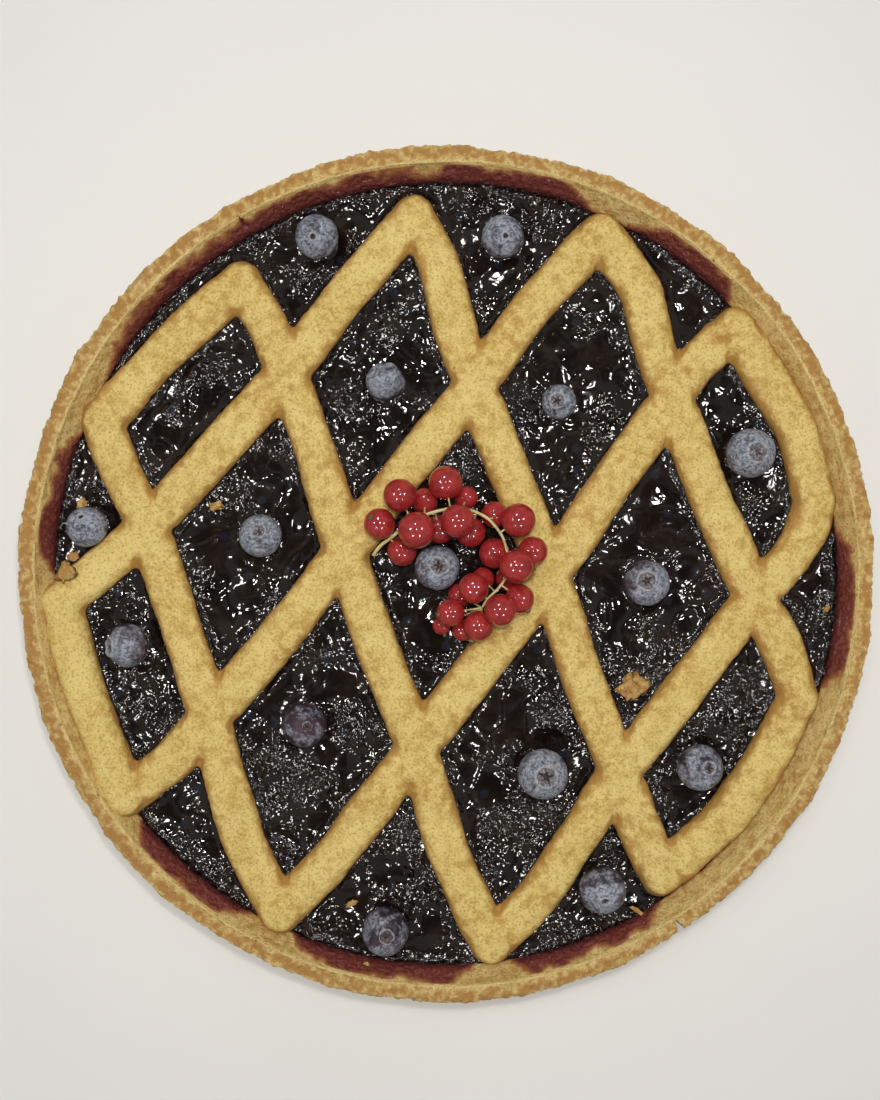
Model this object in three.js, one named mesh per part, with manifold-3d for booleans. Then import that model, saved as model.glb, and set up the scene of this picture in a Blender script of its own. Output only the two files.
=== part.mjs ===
// Berry tart: a fluted shortcrust shell filled with dark jam, a lattice of rolled
// pastry in one piece, single blueberries and a sprig of redcurrants on its stalk.
// Millimetres, +Z up. The origin is the middle of the flat base, and the tart is
// seen from above with +X to the right and +Y towards the top.

import * as THREE from "three";
import { mergeVertices } from "three/addons/utils/BufferGeometryUtils.js";
import Module from "manifold-3d";

const wasm = await Module();
wasm.setup();

// Shell
const RIM_RADIUS = 140;
const RIM_HEIGHT = 27;
const BASE_RADIUS = 134.7;
const FLOOR_THICKNESS = 5;
const FLOOR_RADIUS = 119;
const FLOOR_CORNER_WIDTH = 3;
const FLOOR_CORNER_HEIGHT = 1.5;
const RIM_INNER_RADIUS = 134.4;
const FLUTES = 52;
const FLUTE_DEPTH = 1.2;
// Below 1 the crests are broad and the grooves between them sharp
const FLUTE_ROUNDNESS = 0.7;
// How far the flutes wander from even spacing, in flutes, and how often round the tart
const FLUTE_DRIFT = 0.12;
const FLUTE_DRIFT_WAVES = 7;
const STEPS_PER_FLUTE = 3;
const EDGE_ROUNDING = 1.2;
const RIM_ROUGHNESS = 0.45;
const RIM_ROUGHNESS_LENGTH = 31;
// The rim's roughness changes this much faster round the tart than across the rim
const RIM_ROUGHNESS_STRETCH = 30;
const BOWL_STEPS = 54;
// A piece of the rim broken out at the lower right, as deep as the wall
const RIM_BREAK = { angle: -56.6, edgeRadius: 134.8, openRadius: 145, width: 4, bottom: 7 };
// A short crack over the inner half of the rim at the upper left
const RIM_CRACK = { angle: 120, edgeRadius: 138.2, openRadius: 130, width: 1.2, bottom: 23.5 };

// Jam
const JAM_HEIGHT = 19.7;
const JAM_RADIUS = 129.9;
const JAM_RELIEF = 0.45;
const JAM_RELIEF_LENGTH = 17;
const JAM_CELL = 15;

// Lattice
const STRIP_WIDTH = 14.3;
const STRIP_TOP = 25;
const STRIP_SHOULDER = 20.6;
const STRIP_FOOT = 17.3;
const STRIP_SQUARENESS = 0.72;
// How much half the width and the height vary, and over what length
const STRIP_WIDTH_VARIATION = 0.35;
const STRIP_WIDTH_LENGTH = 43;
const STRIP_HEIGHT_VARIATION = 0.25;
const STRIP_HEIGHT_LENGTH = 29;
const SECTION_STEPS = 5;
const SAMPLE_LENGTH = 42;
const TURN_STEPS = 10;
const RISE_RADIUS = 118;
const RISE_SLOPE = 0.2;

// Fruit and stalk
const BLUEBERRY_SINK = 1.8;
const BLUEBERRY_STEPS = 9;
// A ball of 80 faces is this much wider than the ball that fits inside it
const HOLLOW_SHARE = 1.09;
const STALK_WIDTH = 1.3;
const STALK_STEPS = 30;
const STALK_SIDES = 6;
// How the pile of currants settles: rounds, the share of them with a fall and a pull home, and extra room
const PILE_ROUNDS = 300;
const PILE_FALL_SHARE = 0.7;
const PILE_FALL = 0.1;
const PILE_PULL = 0.2;
const PILE_MARGIN = 0.05;
// Where the ground under a ball is felt: rings of points, and points in each
const REST_RINGS = 4;
const REST_DIRECTIONS = 12;

// Free space kept between pieces that touch
const GAP = 0.3;
// How far a cutting shape reaches past what it cuts
const CUT_REACH = 5;
// Vertices closer than this are one vertex
const WELD = 1e-4;

const CRUST_COLOUR = 0xc79a55;
const STRIP_COLOUR = 0xcda35c;
const JAM_COLOUR = 0x160a0e;
const BLUEBERRY_COLOUR = 0x3c4257;
const CURRANT_COLOUR = 0xa8141c;
const STALK_COLOUR = 0xc9bb72;

// Where the strips turn back at the rim, clockwise from the upper left
const TURNS = {
  upperLeft: [-68, 96.5],
  topMiddle: [-10.5, 118.5],
  topRight: [51, 112.5],
  upperRight: [95.5, 81.3],
  rightSide: [121.8, 24],
  lowerRight: [116.5, -41],
  bottomRight: [71, -100],
  bottomMiddle: [14.7, -122.5],
  bottomLeft: [-55, -112],
  lowerLeft: [-106, -73.5],
  leftSide: [-127.4, -9.5],
  highLeft: [-113.8, 50.5],
};

// Where two strips cross, row by row from the top and left to right
const CROSSINGS = {
  topOne: [-52.5, 66.5],
  topTwo: [9.5, 62],
  topThree: [75, 58],
  middleOne: [-98.5, 15.5],
  middleTwo: [-33.5, 7],
  middleThree: [34.5, -0.5],
  middleFour: [102, -8],
  bottomOne: [-78, -47.5],
  bottomTwo: [-9.5, -57.5],
  bottomThree: [57.5, -66],
};

// Strips that fall to the right, each a route with the slight bends it has by hand
const FALLING_STRIPS = [
  [
    TURNS.upperLeft,
    [-58.8, 81.9],
    CROSSINGS.topOne,
    [-42.2, 37],
    CROSSINGS.middleTwo,
    [-22.5, -25.7],
    CROSSINGS.bottomTwo,
    [0.8, -93],
    TURNS.bottomMiddle,
  ],
  [
    TURNS.topMiddle,
    [-2.2, 102.5],
    [3.6, 78],
    CROSSINGS.topTwo,
    CROSSINGS.middleThree,
    [44.7, -33.8],
    CROSSINGS.bottomThree,
    [63.3, -83],
    TURNS.bottomRight,
  ],
  [
    TURNS.topRight,
    [64.9, 93.6],
    [69, 73.5],
    CROSSINGS.topThree,
    [87.5, 24.6],
    CROSSINGS.middleFour,
    [111, -23.5],
    TURNS.lowerRight,
  ],
  [TURNS.upperRight, [115.7, 48], TURNS.rightSide],
  [
    TURNS.highLeft,
    [-107.4, 33],
    CROSSINGS.middleOne,
    CROSSINGS.bottomOne,
    [-72.8, -69.3],
    [-66, -90.9],
    TURNS.bottomLeft,
  ],
  [TURNS.leftSide, [-119.6, -38.6], TURNS.lowerLeft],
];

// Strips that rise to the right
const RISING_STRIPS = [
  [TURNS.highLeft, [-92.1, 74.6], TURNS.upperLeft],
  [
    TURNS.leftSide,
    [-109, 6],
    CROSSINGS.middleOne,
    CROSSINGS.topOne,
    [-32.6, 92.9],
    TURNS.topMiddle,
  ],
  [
    TURNS.lowerLeft,
    [-91, -62.4],
    CROSSINGS.bottomOne,
    [-55.1, -20.9],
    CROSSINGS.middleTwo,
    [-12.7, 35.1],
    CROSSINGS.topTwo,
    [27.5, 87.3],
    TURNS.topRight,
  ],
  [
    TURNS.bottomLeft,
    [-39.3, -96.4],
    CROSSINGS.bottomTwo,
    CROSSINGS.middleThree,
    [54.2, 29.5],
    CROSSINGS.topThree,
    [81.5, 68.5],
    TURNS.upperRight,
  ],
  [
    TURNS.bottomMiddle,
    [30.3, -107],
    CROSSINGS.bottomThree,
    CROSSINGS.middleFour,
    [113.5, 4.7],
    [120, 15.3],
    TURNS.rightSide,
  ],
  [TURNS.bottomRight, [92.2, -81], [103.3, -65.8], TURNS.lowerRight],
];

// The falling strips were laid last, so they stand a hair above the rising ones
const FALLING_EXTRA_HEIGHT = 0.15;

// Each blueberry: where it lies, its diameter, and where its crown points
const BLUEBERRIES = [
  { at: [-42.5, 110.5], size: 14.3, crown: [0.1, 0.1, -1] },
  { at: [18.5, 110.5], size: 14, crown: [-0.1, 0.2, -1] },
  { at: [-20, 63], size: 13.1, crown: [-0.3, -0.9, -0.3] },
  { at: [37, 56.5], size: 11.5, crown: [-0.35, 0, 1] },
  { at: [99.5, 39.5], size: 16.1, crown: [0.1, 0.1, 1] },
  { at: [-118, 15.5], size: 13.5, crown: [0.1, -0.3, -1] },
  { at: [-61, 12.5], size: 14.1, crown: [0.1, 0.2, 1] },
  { at: [-3, 2], size: 14.8, crown: [0.1, 0.1, 1] },
  { at: [-104.5, -23.5], size: 14.4, crown: [-0.9, -0.2, 0.5] },
  { at: [65.5, -3], size: 15, crown: [0.05, 0.1, 1] },
  { at: [-46.5, -49.5], size: 14.4, crown: [0.6, -0.5, 0.2] },
  { at: [31.5, -65.5], size: 16.4, crown: [0, 0.1, 1] },
  { at: [83, -63.5], size: 15.1, crown: [0.3, -0.15, 1] },
  { at: [-20, -117], size: 15.6, crown: [0.1, 0.2, 1] },
  { at: [51, -103.5], size: 15.5, crown: [0, 0.2, -1] },
];

// Each redcurrant: where it shows from above, its diameter, and how high it starts
const LOW = 26;
const HIGH = 35;
const CURRANTS = [
  [-6.5, 24.5, 8.6, LOW],
  [6.5, 25, 7.8, LOW],
  [-2, 14, 9.8, LOW],
  [9, 13, 10, LOW],
  [16, 19, 8.6, LOW],
  [-14.5, 7.5, 9.9, LOW],
  [15, 6.5, 10, LOW],
  [27.5, 7, 9.7, LOW + 4],
  [19.5, -2, 8.4, LOW],
  [13, -1.5, 7.6, LOW],
  [3, -6, 8, LOW],
  [-1.5, -17, 6.2, LOW],
  [5.5, -18.5, 6.8, LOW],
  [2, -12, 9.1, LOW],
  [-21.5, 16, 10.2, LOW + 4],
  [-9.5, 14.5, 11.8, HIGH],
  [-15, 25.5, 10.8, LOW + 4],
  [-1, 29, 11.1, HIGH],
  [3.5, 17.5, 10.8, HIGH + 3],
  [22.5, 17.5, 11.1, HIGH],
  [22.5, 3, 10.7, HIGH + 2],
  [9.5, -5, 9.9, HIGH],
  [22.5, -7, 9.6, HIGH],
  [17.5, -11, 10.2, HIGH],
  [10, -15.5, 10, HIGH],
];

// The stalk's way through the sprig
const STALK_ROUTE = [
  [-24, 6, 26.2],
  [-21.5, 9.5, 27],
  [-17.5, 12, 29],
  [-13, 16.5, 31],
  [-6, 19.5, 33],
  [-1, 20.8, 33],
  [3.5, 21.5, 32.2],
  [8.5, 20.5, 32.8],
  [13.5, 18, 33.6],
  [18, 12.5, 33],
  [20, 6, 31],
  [19.5, -1, 30.5],
  [16.5, -5, 31.4],
  [13, -8, 31],
  [11.5, -11, 29.5],
];

// Solids

// A closed geometry as a solid, its shared vertices joined and empty triangles dropped.
function solidOf(geometry) {
  const bare = geometry.clone();
  bare.deleteAttribute("normal");
  bare.deleteAttribute("uv");
  const joined = mergeVertices(bare, WELD);
  const corners = joined.index.array;
  const kept = [];
  for (let i = 0; i < corners.length; i += 3) {
    const [a, b, c] = corners.slice(i, i + 3);
    if (a !== b && b !== c && a !== c) kept.push(a, b, c);
  }
  return new wasm.Manifold(
    new wasm.Mesh({
      numProp: 3,
      vertProperties: joined.attributes.position.array,
      triVerts: Uint32Array.from(kept),
    }),
  );
}

function geometryOf(solid) {
  const { vertProperties, triVerts } = solid.getMesh();
  return new THREE.BufferGeometry()
    .setAttribute("position", new THREE.BufferAttribute(vertProperties, 3))
    .setIndex(new THREE.BufferAttribute(triVerts, 1));
}

// A cut piece without the loose scraps that the cuts leave.
function mainBody(solid) {
  return solid.decompose().reduce((largest, body) => (body.volume() > largest.volume() ? body : largest));
}

// A profile of [radius, height] points turned round the Z axis.
function revolve(profile, steps) {
  const points = profile.map(([radius, height]) => new THREE.Vector2(radius, height));
  return new THREE.LatheGeometry(points, steps).rotateX(Math.PI / 2);
}

// Moves every vertex of a geometry: change gets a vector and alters it.
function reshape(geometry, change) {
  const place = geometry.attributes.position;
  const point = new THREE.Vector3();
  for (let i = 0; i < place.count; i++) {
    point.fromBufferAttribute(place, i);
    change(point);
    place.setXYZ(i, point.x, point.y, point.z);
  }
  return geometry;
}

// A closed skin over rings of points, each ring with as many points as the next.
function loft(rings) {
  const count = rings[0].length;
  const index = [];
  for (let r = 0; r + 1 < rings.length; r++) {
    for (let i = 0; i < count; i++) {
      const a = r * count + i;
      const b = r * count + ((i + 1) % count);
      index.push(a, b, b + count, a, b + count, a + count);
    }
  }
  const last = (rings.length - 1) * count;
  for (let i = 1; i + 1 < count; i++) {
    index.push(0, i + 1, i, last, last + i, last + i + 1);
  }
  return new THREE.BufferGeometry().setFromPoints(rings.flat()).setIndex(index);
}

// An uneven value between -1 and 1 that changes smoothly over the tart.
function unevenness(x, y, length) {
  const u = (2 * Math.PI * x) / length;
  const v = (2 * Math.PI * y) / length;
  return 0.5 * Math.sin(u + 1.7 * Math.sin(0.61 * v)) + 0.5 * Math.sin(v + 1.9 * Math.sin(0.53 * u + 2));
}

// Shell

// How far the outer wall stands inside its full radius at an angle round the tart.
function fluteInset(angle) {
  const turn = angle / (2 * Math.PI);
  const place = FLUTES * turn + FLUTE_DRIFT * Math.sin(FLUTE_DRIFT_WAVES * angle);
  const across = place - Math.floor(place);
  return FLUTE_DEPTH * (1 - Math.sin(Math.PI * across) ** FLUTE_ROUNDNESS);
}

function shellSolid() {
  const mouth = RIM_HEIGHT - EDGE_ROUNDING;
  const rimInside = RIM_INNER_RADIUS + EDGE_ROUNDING;
  const outside = revolve(
    [
      [0, 0],
      [BASE_RADIUS - EDGE_ROUNDING, 0],
      [BASE_RADIUS, EDGE_ROUNDING],
      [RIM_RADIUS, mouth],
      [RIM_RADIUS - EDGE_ROUNDING, RIM_HEIGHT],
      [rimInside, RIM_HEIGHT],
      [0, RIM_HEIGHT],
    ],
    FLUTES * STEPS_PER_FLUTE,
  );
  reshape(outside, (p) => {
    const radius = Math.hypot(p.x, p.y);
    const angle = Math.atan2(p.y, p.x);
    const onTop = p.z > mouth + WELD;
    const outermost = radius > (onTop ? rimInside + WELD : FLOOR_RADIUS);
    if (outermost) {
      p.x -= fluteInset(angle) * Math.cos(angle);
      p.y -= fluteInset(angle) * Math.sin(angle);
    }
    if (onTop && radius > FLOOR_RADIUS) {
      p.z += RIM_ROUGHNESS * unevenness(RIM_ROUGHNESS_STRETCH * angle, radius, RIM_ROUGHNESS_LENGTH);
    }
  });
  const bowl = revolve(bowlProfile(0, RIM_HEIGHT + CUT_REACH), BOWL_STEPS);
  return solidOf(outside).subtract(solidOf(bowl)).subtract(wedge(RIM_BREAK)).subtract(wedge(RIM_CRACK));
}

// The inside of the shell up to a height, drawn in on every side by a distance.
function bowlProfile(inset, top) {
  const slope = (RIM_INNER_RADIUS - JAM_RADIUS) / (RIM_HEIGHT - JAM_HEIGHT);
  const radiusAt = (height) => JAM_RADIUS - inset + slope * (height - JAM_HEIGHT);
  const floor = FLOOR_THICKNESS + inset;
  return [
    [0, floor],
    [FLOOR_RADIUS - inset, floor],
    [FLOOR_RADIUS + FLOOR_CORNER_WIDTH - inset, floor + FLOOR_CORNER_HEIGHT],
    [radiusAt(top), top],
    [0, top],
  ];
}

// An upright wedge along a radius, from its sharp edge to its open side, that cuts up through the rim.
function wedge({ angle, edgeRadius, openRadius, width, bottom }) {
  const side = (Math.sign(openRadius - edgeRadius) * width) / 2;
  const corners = [
    [edgeRadius, 0],
    [openRadius, -side],
    [openRadius, side],
  ];
  const ring = (height) => corners.map(([x, y]) => new THREE.Vector3(x, y, height));
  const upright = loft([ring(bottom), ring(RIM_HEIGHT + CUT_REACH)]);
  return solidOf(upright.rotateZ(THREE.MathUtils.degToRad(angle)));
}

// Lattice

// Half the width and the top of a strip where it passes a point.
function stripSize(x, y) {
  const rise = RISE_SLOPE * Math.max(0, Math.hypot(x, y) - RISE_RADIUS);
  return {
    halfWidth: STRIP_WIDTH / 2 + STRIP_WIDTH_VARIATION * unevenness(x, y, STRIP_WIDTH_LENGTH),
    top: STRIP_TOP + rise + STRIP_HEIGHT_VARIATION * unevenness(y, x, STRIP_HEIGHT_LENGTH),
  };
}

// Points of the rounded upper outline of a strip, across from -1 to 1 and up from 0 to 1.
function stripOutline() {
  return Array.from({ length: SECTION_STEPS + 1 }, (_, i) => {
    const angle = Math.PI * (1 - i / SECTION_STEPS);
    const across = Math.sign(Math.cos(angle)) * Math.abs(Math.cos(angle)) ** STRIP_SQUARENESS;
    return [across, Math.abs(Math.sin(angle)) ** STRIP_SQUARENESS];
  });
}

// A route with points added so that none lie further apart than SAMPLE_LENGTH.
function sampled(route) {
  const points = route.map(([x, y]) => new THREE.Vector2(x, y));
  const samples = [points[0]];
  for (let i = 1; i < points.length; i++) {
    const steps = Math.ceil(points[i].distanceTo(points[i - 1]) / SAMPLE_LENGTH);
    for (let s = 1; s <= steps; s++) samples.push(points[i - 1].clone().lerp(points[i], s / steps));
  }
  return samples;
}

// The sideways direction at each sample, made longer at a bend so that the width holds.
function sideways(samples) {
  return samples.map((point, i) => {
    const before = point.clone().sub(samples[Math.max(i - 1, 0)]);
    const after = samples[Math.min(i + 1, samples.length - 1)].clone().sub(point);
    if (i === 0) before.copy(after);
    if (i === samples.length - 1) after.copy(before);
    before.normalize();
    const along = before.clone().add(after.normalize()).normalize();
    return new THREE.Vector2(along.y, -along.x).divideScalar(along.dot(before));
  });
}

function strip(route, extraHeight) {
  const samples = sampled(route);
  const sides = sideways(samples);
  const outline = stripOutline();
  const rings = samples.map((point, i) => {
    const { halfWidth, top } = stripSize(point.x, point.y);
    const place = (across, height) =>
      new THREE.Vector3(
        point.x + sides[i].x * across * halfWidth,
        point.y + sides[i].y * across * halfWidth,
        height,
      );
    const crown = outline.map(([across, up]) =>
      place(across, STRIP_SHOULDER + up * (top + extraHeight - STRIP_SHOULDER)),
    );
    return [place(1, STRIP_FOOT), place(-1, STRIP_FOOT), ...crown];
  });
  return solidOf(loft(rings));
}

// The round outside of a turn, with the same outline as the strips that meet there.
function turnCap([x, y]) {
  const { halfWidth, top } = stripSize(x, y);
  const rounded = stripOutline()
    .filter(([across]) => across > 0)
    .map(([across, up]) => [
      across * halfWidth,
      STRIP_SHOULDER + up * (top + FALLING_EXTRA_HEIGHT - STRIP_SHOULDER),
    ]);
  const middle = [0, rounded[0][1]];
  const profile = [[0, STRIP_FOOT], [halfWidth, STRIP_FOOT], ...rounded.reverse(), middle];
  return solidOf(revolve(profile, TURN_STEPS).translate(x, y, 0));
}

function latticeSolid() {
  const pieces = [
    ...FALLING_STRIPS.map((route) => strip(route, FALLING_EXTRA_HEIGHT)),
    ...RISING_STRIPS.map((route) => strip(route, 0)),
    ...Object.values(TURNS).map(turnCap),
  ];
  return pieces.reduce((joined, piece) => joined.add(piece));
}

// The upright space that the lattice takes, with the gap round it.
function latticeSpace() {
  const foot = STRIP_FOOT - GAP;
  const ceiling = RIM_HEIGHT + CUT_REACH;
  const channels = [...FALLING_STRIPS, ...RISING_STRIPS].map((route) => {
    const samples = sampled(route);
    const sides = sideways(samples);
    const rings = samples.map((point, i) => {
      const reach = stripSize(point.x, point.y).halfWidth + GAP;
      const corner = (across, height) =>
        new THREE.Vector3(
          point.x + sides[i].x * across * reach,
          point.y + sides[i].y * across * reach,
          height,
        );
      return [corner(1, foot), corner(-1, foot), corner(-1, ceiling), corner(1, ceiling)];
    });
    return solidOf(loft(rings));
  });
  const wells = Object.values(TURNS).map(([x, y]) => {
    const reach = stripSize(x, y).halfWidth + GAP;
    const profile = [
      [0, foot],
      [reach, foot],
      [reach, ceiling],
      [0, ceiling],
    ];
    return solidOf(revolve(profile, TURN_STEPS).translate(x, y, 0));
  });
  return [...channels, ...wells].reduce((joined, piece) => joined.add(piece));
}

// Jam

function jamSolid() {
  const depth = 2 * JAM_HEIGHT;
  const cells = Math.round((2 * RIM_RADIUS) / JAM_CELL);
  const block = new THREE.BoxGeometry(2 * RIM_RADIUS, 2 * RIM_RADIUS, depth, cells, cells, 1);
  reshape(block, (p) => {
    if (p.z > 0) p.z = JAM_HEIGHT + JAM_RELIEF * unevenness(p.x, p.y, JAM_RELIEF_LENGTH);
  });
  const bowl = revolve(bowlProfile(GAP, RIM_HEIGHT), BOWL_STEPS);
  return solidOf(block).intersect(solidOf(bowl));
}

// Blueberries

// A berry of radius 1: a slightly flat ball with a raised, hollow crown on top.
const BLUEBERRY_PROFILE = [
  [0, -0.95],
  [0.58, -0.78],
  [0.95, -0.3],
  [0.98, 0.2],
  [0.74, 0.66],
  [0.44, 0.84],
  [0.38, 0.97],
  [0.24, 0.8],
  [0, 0.77],
];

// The height of a blueberry's middle.
function blueberryHeight(size) {
  return JAM_HEIGHT + size / 2 - BLUEBERRY_SINK;
}

function blueberry({ at, size, crown }) {
  const radius = size / 2;
  const turned = new THREE.Quaternion().setFromUnitVectors(
    new THREE.Vector3(0, 0, 1),
    new THREE.Vector3(...crown).normalize(),
  );
  return revolve(BLUEBERRY_PROFILE, BLUEBERRY_STEPS)
    .scale(radius, radius, radius)
    .applyQuaternion(turned)
    .translate(at[0], at[1], blueberryHeight(size));
}

// The hollow that a blueberry presses into the jam: a coarse ball that clears the berry.
function blueberryHollow({ at, size }) {
  const hollow = new THREE.IcosahedronGeometry((size / 2 + GAP) * HOLLOW_SHARE, 1);
  return solidOf(hollow.translate(at[0], at[1], blueberryHeight(size)));
}

// Redcurrants and stalk

// The nearest distance from a point to a strip's middle line.
function distanceToStrips(x, y) {
  const point = new THREE.Vector3(x, y, 0);
  const nearest = new THREE.Vector3();
  let least = Infinity;
  for (const route of [...FALLING_STRIPS, ...RISING_STRIPS]) {
    for (let i = 1; i < route.length; i++) {
      const leg = new THREE.Line3(
        new THREE.Vector3(...route[i - 1], 0),
        new THREE.Vector3(...route[i], 0),
      );
      leg.closestPointToPoint(point, true, nearest);
      least = Math.min(least, nearest.distanceTo(point));
    }
  }
  return least;
}

// The height of what lies below the sprig: the top of a strip, or else the jam.
function groundHeight(x, y) {
  const { halfWidth, top } = stripSize(x, y);
  const jam = JAM_HEIGHT + JAM_RELIEF;
  const across = distanceToStrips(x, y) / halfWidth;
  if (across >= 1) return jam;
  const up = (1 - across ** (2 / STRIP_SQUARENESS)) ** (STRIP_SQUARENESS / 2);
  return STRIP_SHOULDER + up * (top + FALLING_EXTRA_HEIGHT - STRIP_SHOULDER);
}

// The lowest height of a ball's middle at which it clears the ground below it.
function restHeight(x, y, radius) {
  let height = groundHeight(x, y) + radius + GAP;
  for (let ring = 1; ring <= REST_RINGS; ring++) {
    const reach = (radius * ring) / (REST_RINGS + 0.3);
    const rise = Math.sqrt(radius ** 2 - reach ** 2);
    for (let i = 0; i < REST_DIRECTIONS; i++) {
      const angle = (2 * Math.PI * i) / REST_DIRECTIONS;
      const ground = groundHeight(x + reach * Math.cos(angle), y + reach * Math.sin(angle));
      height = Math.max(height, ground + rise + GAP);
    }
  }
  return height;
}

// Moves two balls apart where they come closer than the gap; a fixed ball stays.
function keepApart(ball, other) {
  const away = ball.middle.clone().sub(other.middle);
  const missing = ball.radius + other.radius + GAP + PILE_MARGIN - away.length();
  if (missing <= 0) return;
  away.setLength(other.fixed ? missing : missing / 2);
  ball.middle.add(away);
  if (!other.fixed) other.middle.sub(away);
}

// Lets the currants sink onto the tart and each other, near where they were seen.
function settle(balls, fixed) {
  for (let round = 0; round < PILE_ROUNDS; round++) {
    const falling = round < PILE_ROUNDS * PILE_FALL_SHARE;
    for (const ball of balls) {
      if (falling) {
        ball.middle.z -= PILE_FALL;
        ball.middle.x += PILE_PULL * (ball.home.x - ball.middle.x);
        ball.middle.y += PILE_PULL * (ball.home.y - ball.middle.y);
      }
    }
    balls.forEach((ball, i) => {
      balls.slice(i + 1).forEach((other) => keepApart(ball, other));
      fixed.forEach((other) => keepApart(ball, other));
    });
    for (const { middle, radius } of balls) {
      middle.z = Math.max(middle.z, restHeight(middle.x, middle.y, radius));
    }
  }
}

function stalkGeometry(points) {
  const rings = points.map((point, i) => {
    const before = points[Math.max(i - 1, 0)];
    const after = points[Math.min(i + 1, points.length - 1)];
    const along = after.clone().sub(before).normalize();
    const side = new THREE.Vector3(along.y, -along.x, 0).normalize();
    const up = side.clone().cross(along);
    return Array.from({ length: STALK_SIDES }, (_, s) => {
      const angle = (-2 * Math.PI * s) / STALK_SIDES;
      return point
        .clone()
        .addScaledVector(side, (Math.cos(angle) * STALK_WIDTH) / 2)
        .addScaledVector(up, (Math.sin(angle) * STALK_WIDTH) / 2);
    });
  });
  return loft(rings);
}

// The tart

const tart = new THREE.Group();

function addPiece(name, geometry, color, roughness) {
  const material = new THREE.MeshStandardMaterial({ color, roughness, metalness: 0, flatShading: true });
  const mesh = new THREE.Mesh(geometry, material);
  mesh.name = name;
  tart.add(mesh);
  return mesh;
}

const numbered = (name, i) => name + "_" + String(i + 1).padStart(2, "0");

const strips = latticeSpace();
addPiece("crust", geometryOf(mainBody(shellSolid().subtract(strips))), CRUST_COLOUR, 0.85);

const hollows = BLUEBERRIES.map(blueberryHollow);
const jam = hollows.reduce((left, hollow) => left.subtract(hollow), jamSolid().subtract(strips));
addPiece("filling", geometryOf(mainBody(jam)), JAM_COLOUR, 0.15);

addPiece("lattice", geometryOf(latticeSolid()), STRIP_COLOUR, 0.8);

BLUEBERRIES.forEach((berry, i) => {
  addPiece(numbered("blueberry", i), blueberry(berry), BLUEBERRY_COLOUR, 0.5);
});

const curve = new THREE.CatmullRomCurve3(STALK_ROUTE.map((point) => new THREE.Vector3(...point)));
const stalk = curve.getSpacedPoints(STALK_STEPS);
addPiece("stalk", stalkGeometry(stalk), STALK_COLOUR, 0.6);

const inTheWay = [
  ...BLUEBERRIES.map(({ at, size }) => ({
    middle: new THREE.Vector3(...at, blueberryHeight(size)),
    radius: size / 2,
    fixed: true,
  })),
  ...stalk.map((middle) => ({ middle, radius: STALK_WIDTH / 2, fixed: true })),
];
const currants = CURRANTS.map(([x, y, size, height]) => ({
  home: new THREE.Vector2(x, y),
  middle: new THREE.Vector3(x, y, height),
  radius: size / 2,
}));
settle(currants, inTheWay);
currants.forEach(({ middle, radius }, i) => {
  const ball = new THREE.IcosahedronGeometry(radius, 1);
  addPiece(numbered("currant", i), ball, CURRANT_COLOUR, 0.2).position.copy(middle);
});

export default tart;
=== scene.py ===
# %% [markdown]
# # A berry tart with a pastry lattice
#
# A round, fluted shortcrust tart, filled with dark jam under a lattice of rolled
# pastry, with a blueberry in most of its windows and a sprig of redcurrants in the
# middle. Its solids are loaded first, so every piece below is made where its solid
# is, in millimetres, and turned into metres as it is finished.

# %% Load the solids that everything is built around
import math
import random

import bmesh
import bpy
import numpy as np
from mathutils import Matrix, Vector, noise


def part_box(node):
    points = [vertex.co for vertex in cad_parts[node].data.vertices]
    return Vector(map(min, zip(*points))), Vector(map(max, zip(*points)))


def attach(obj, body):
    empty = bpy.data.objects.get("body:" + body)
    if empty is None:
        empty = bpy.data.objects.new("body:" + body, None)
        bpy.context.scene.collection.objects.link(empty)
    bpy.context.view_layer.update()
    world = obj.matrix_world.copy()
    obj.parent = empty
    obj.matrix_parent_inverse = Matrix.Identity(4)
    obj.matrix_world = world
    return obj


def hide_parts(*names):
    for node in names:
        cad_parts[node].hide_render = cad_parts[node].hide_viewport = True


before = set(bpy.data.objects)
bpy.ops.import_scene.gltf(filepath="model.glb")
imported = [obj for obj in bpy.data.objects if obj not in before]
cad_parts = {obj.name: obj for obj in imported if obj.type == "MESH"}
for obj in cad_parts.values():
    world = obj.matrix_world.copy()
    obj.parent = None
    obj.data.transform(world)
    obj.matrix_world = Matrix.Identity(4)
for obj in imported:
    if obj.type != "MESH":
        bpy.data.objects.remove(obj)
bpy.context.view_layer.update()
MM = 0.001
FULL_TURN = 2 * math.pi
print("solids:", len(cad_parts))

# %% [markdown]
# ## Camera
#
# The picture was taken from straight above, a little under half a metre from the
# tart's base, so the high fruit looks larger and leans outwards. A camera that looks
# along -Z needs no rotation: Blender's camera already looks down its own -Z. The
# focal length follows from the size of the rim in the picture.

# %% The camera above the tart
CAMERA_PLACE = (-2.1, 7.8, 427)
PICTURE_HEIGHT = 1100
FOCAL_PIXELS = 1226.3
SENSOR = 36

camera_data = bpy.data.cameras.new("camera")
camera_data.sensor_width = SENSOR
camera_data.lens = FOCAL_PIXELS / PICTURE_HEIGHT * SENSOR
camera_data.clip_start = 0.01
camera = bpy.data.objects.new("camera", camera_data)
camera.location = [value * MM for value in CAMERA_PLACE]
bpy.context.scene.collection.objects.link(camera)
bpy.context.scene.camera = camera
print("lens:", round(camera_data.lens, 2), "mm")

# %% [markdown]
# ## Small helpers
#
# Some helpers turn a finished bmesh into an object that rides with the tart and stands
# for its solid. The others add shader nodes and fill their inputs, because a node tree
# is much easier to read as one line a node. A socket and a node know their own tree.

# %% Helpers for pieces and for shader nodes
scene = bpy.context.scene


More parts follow.
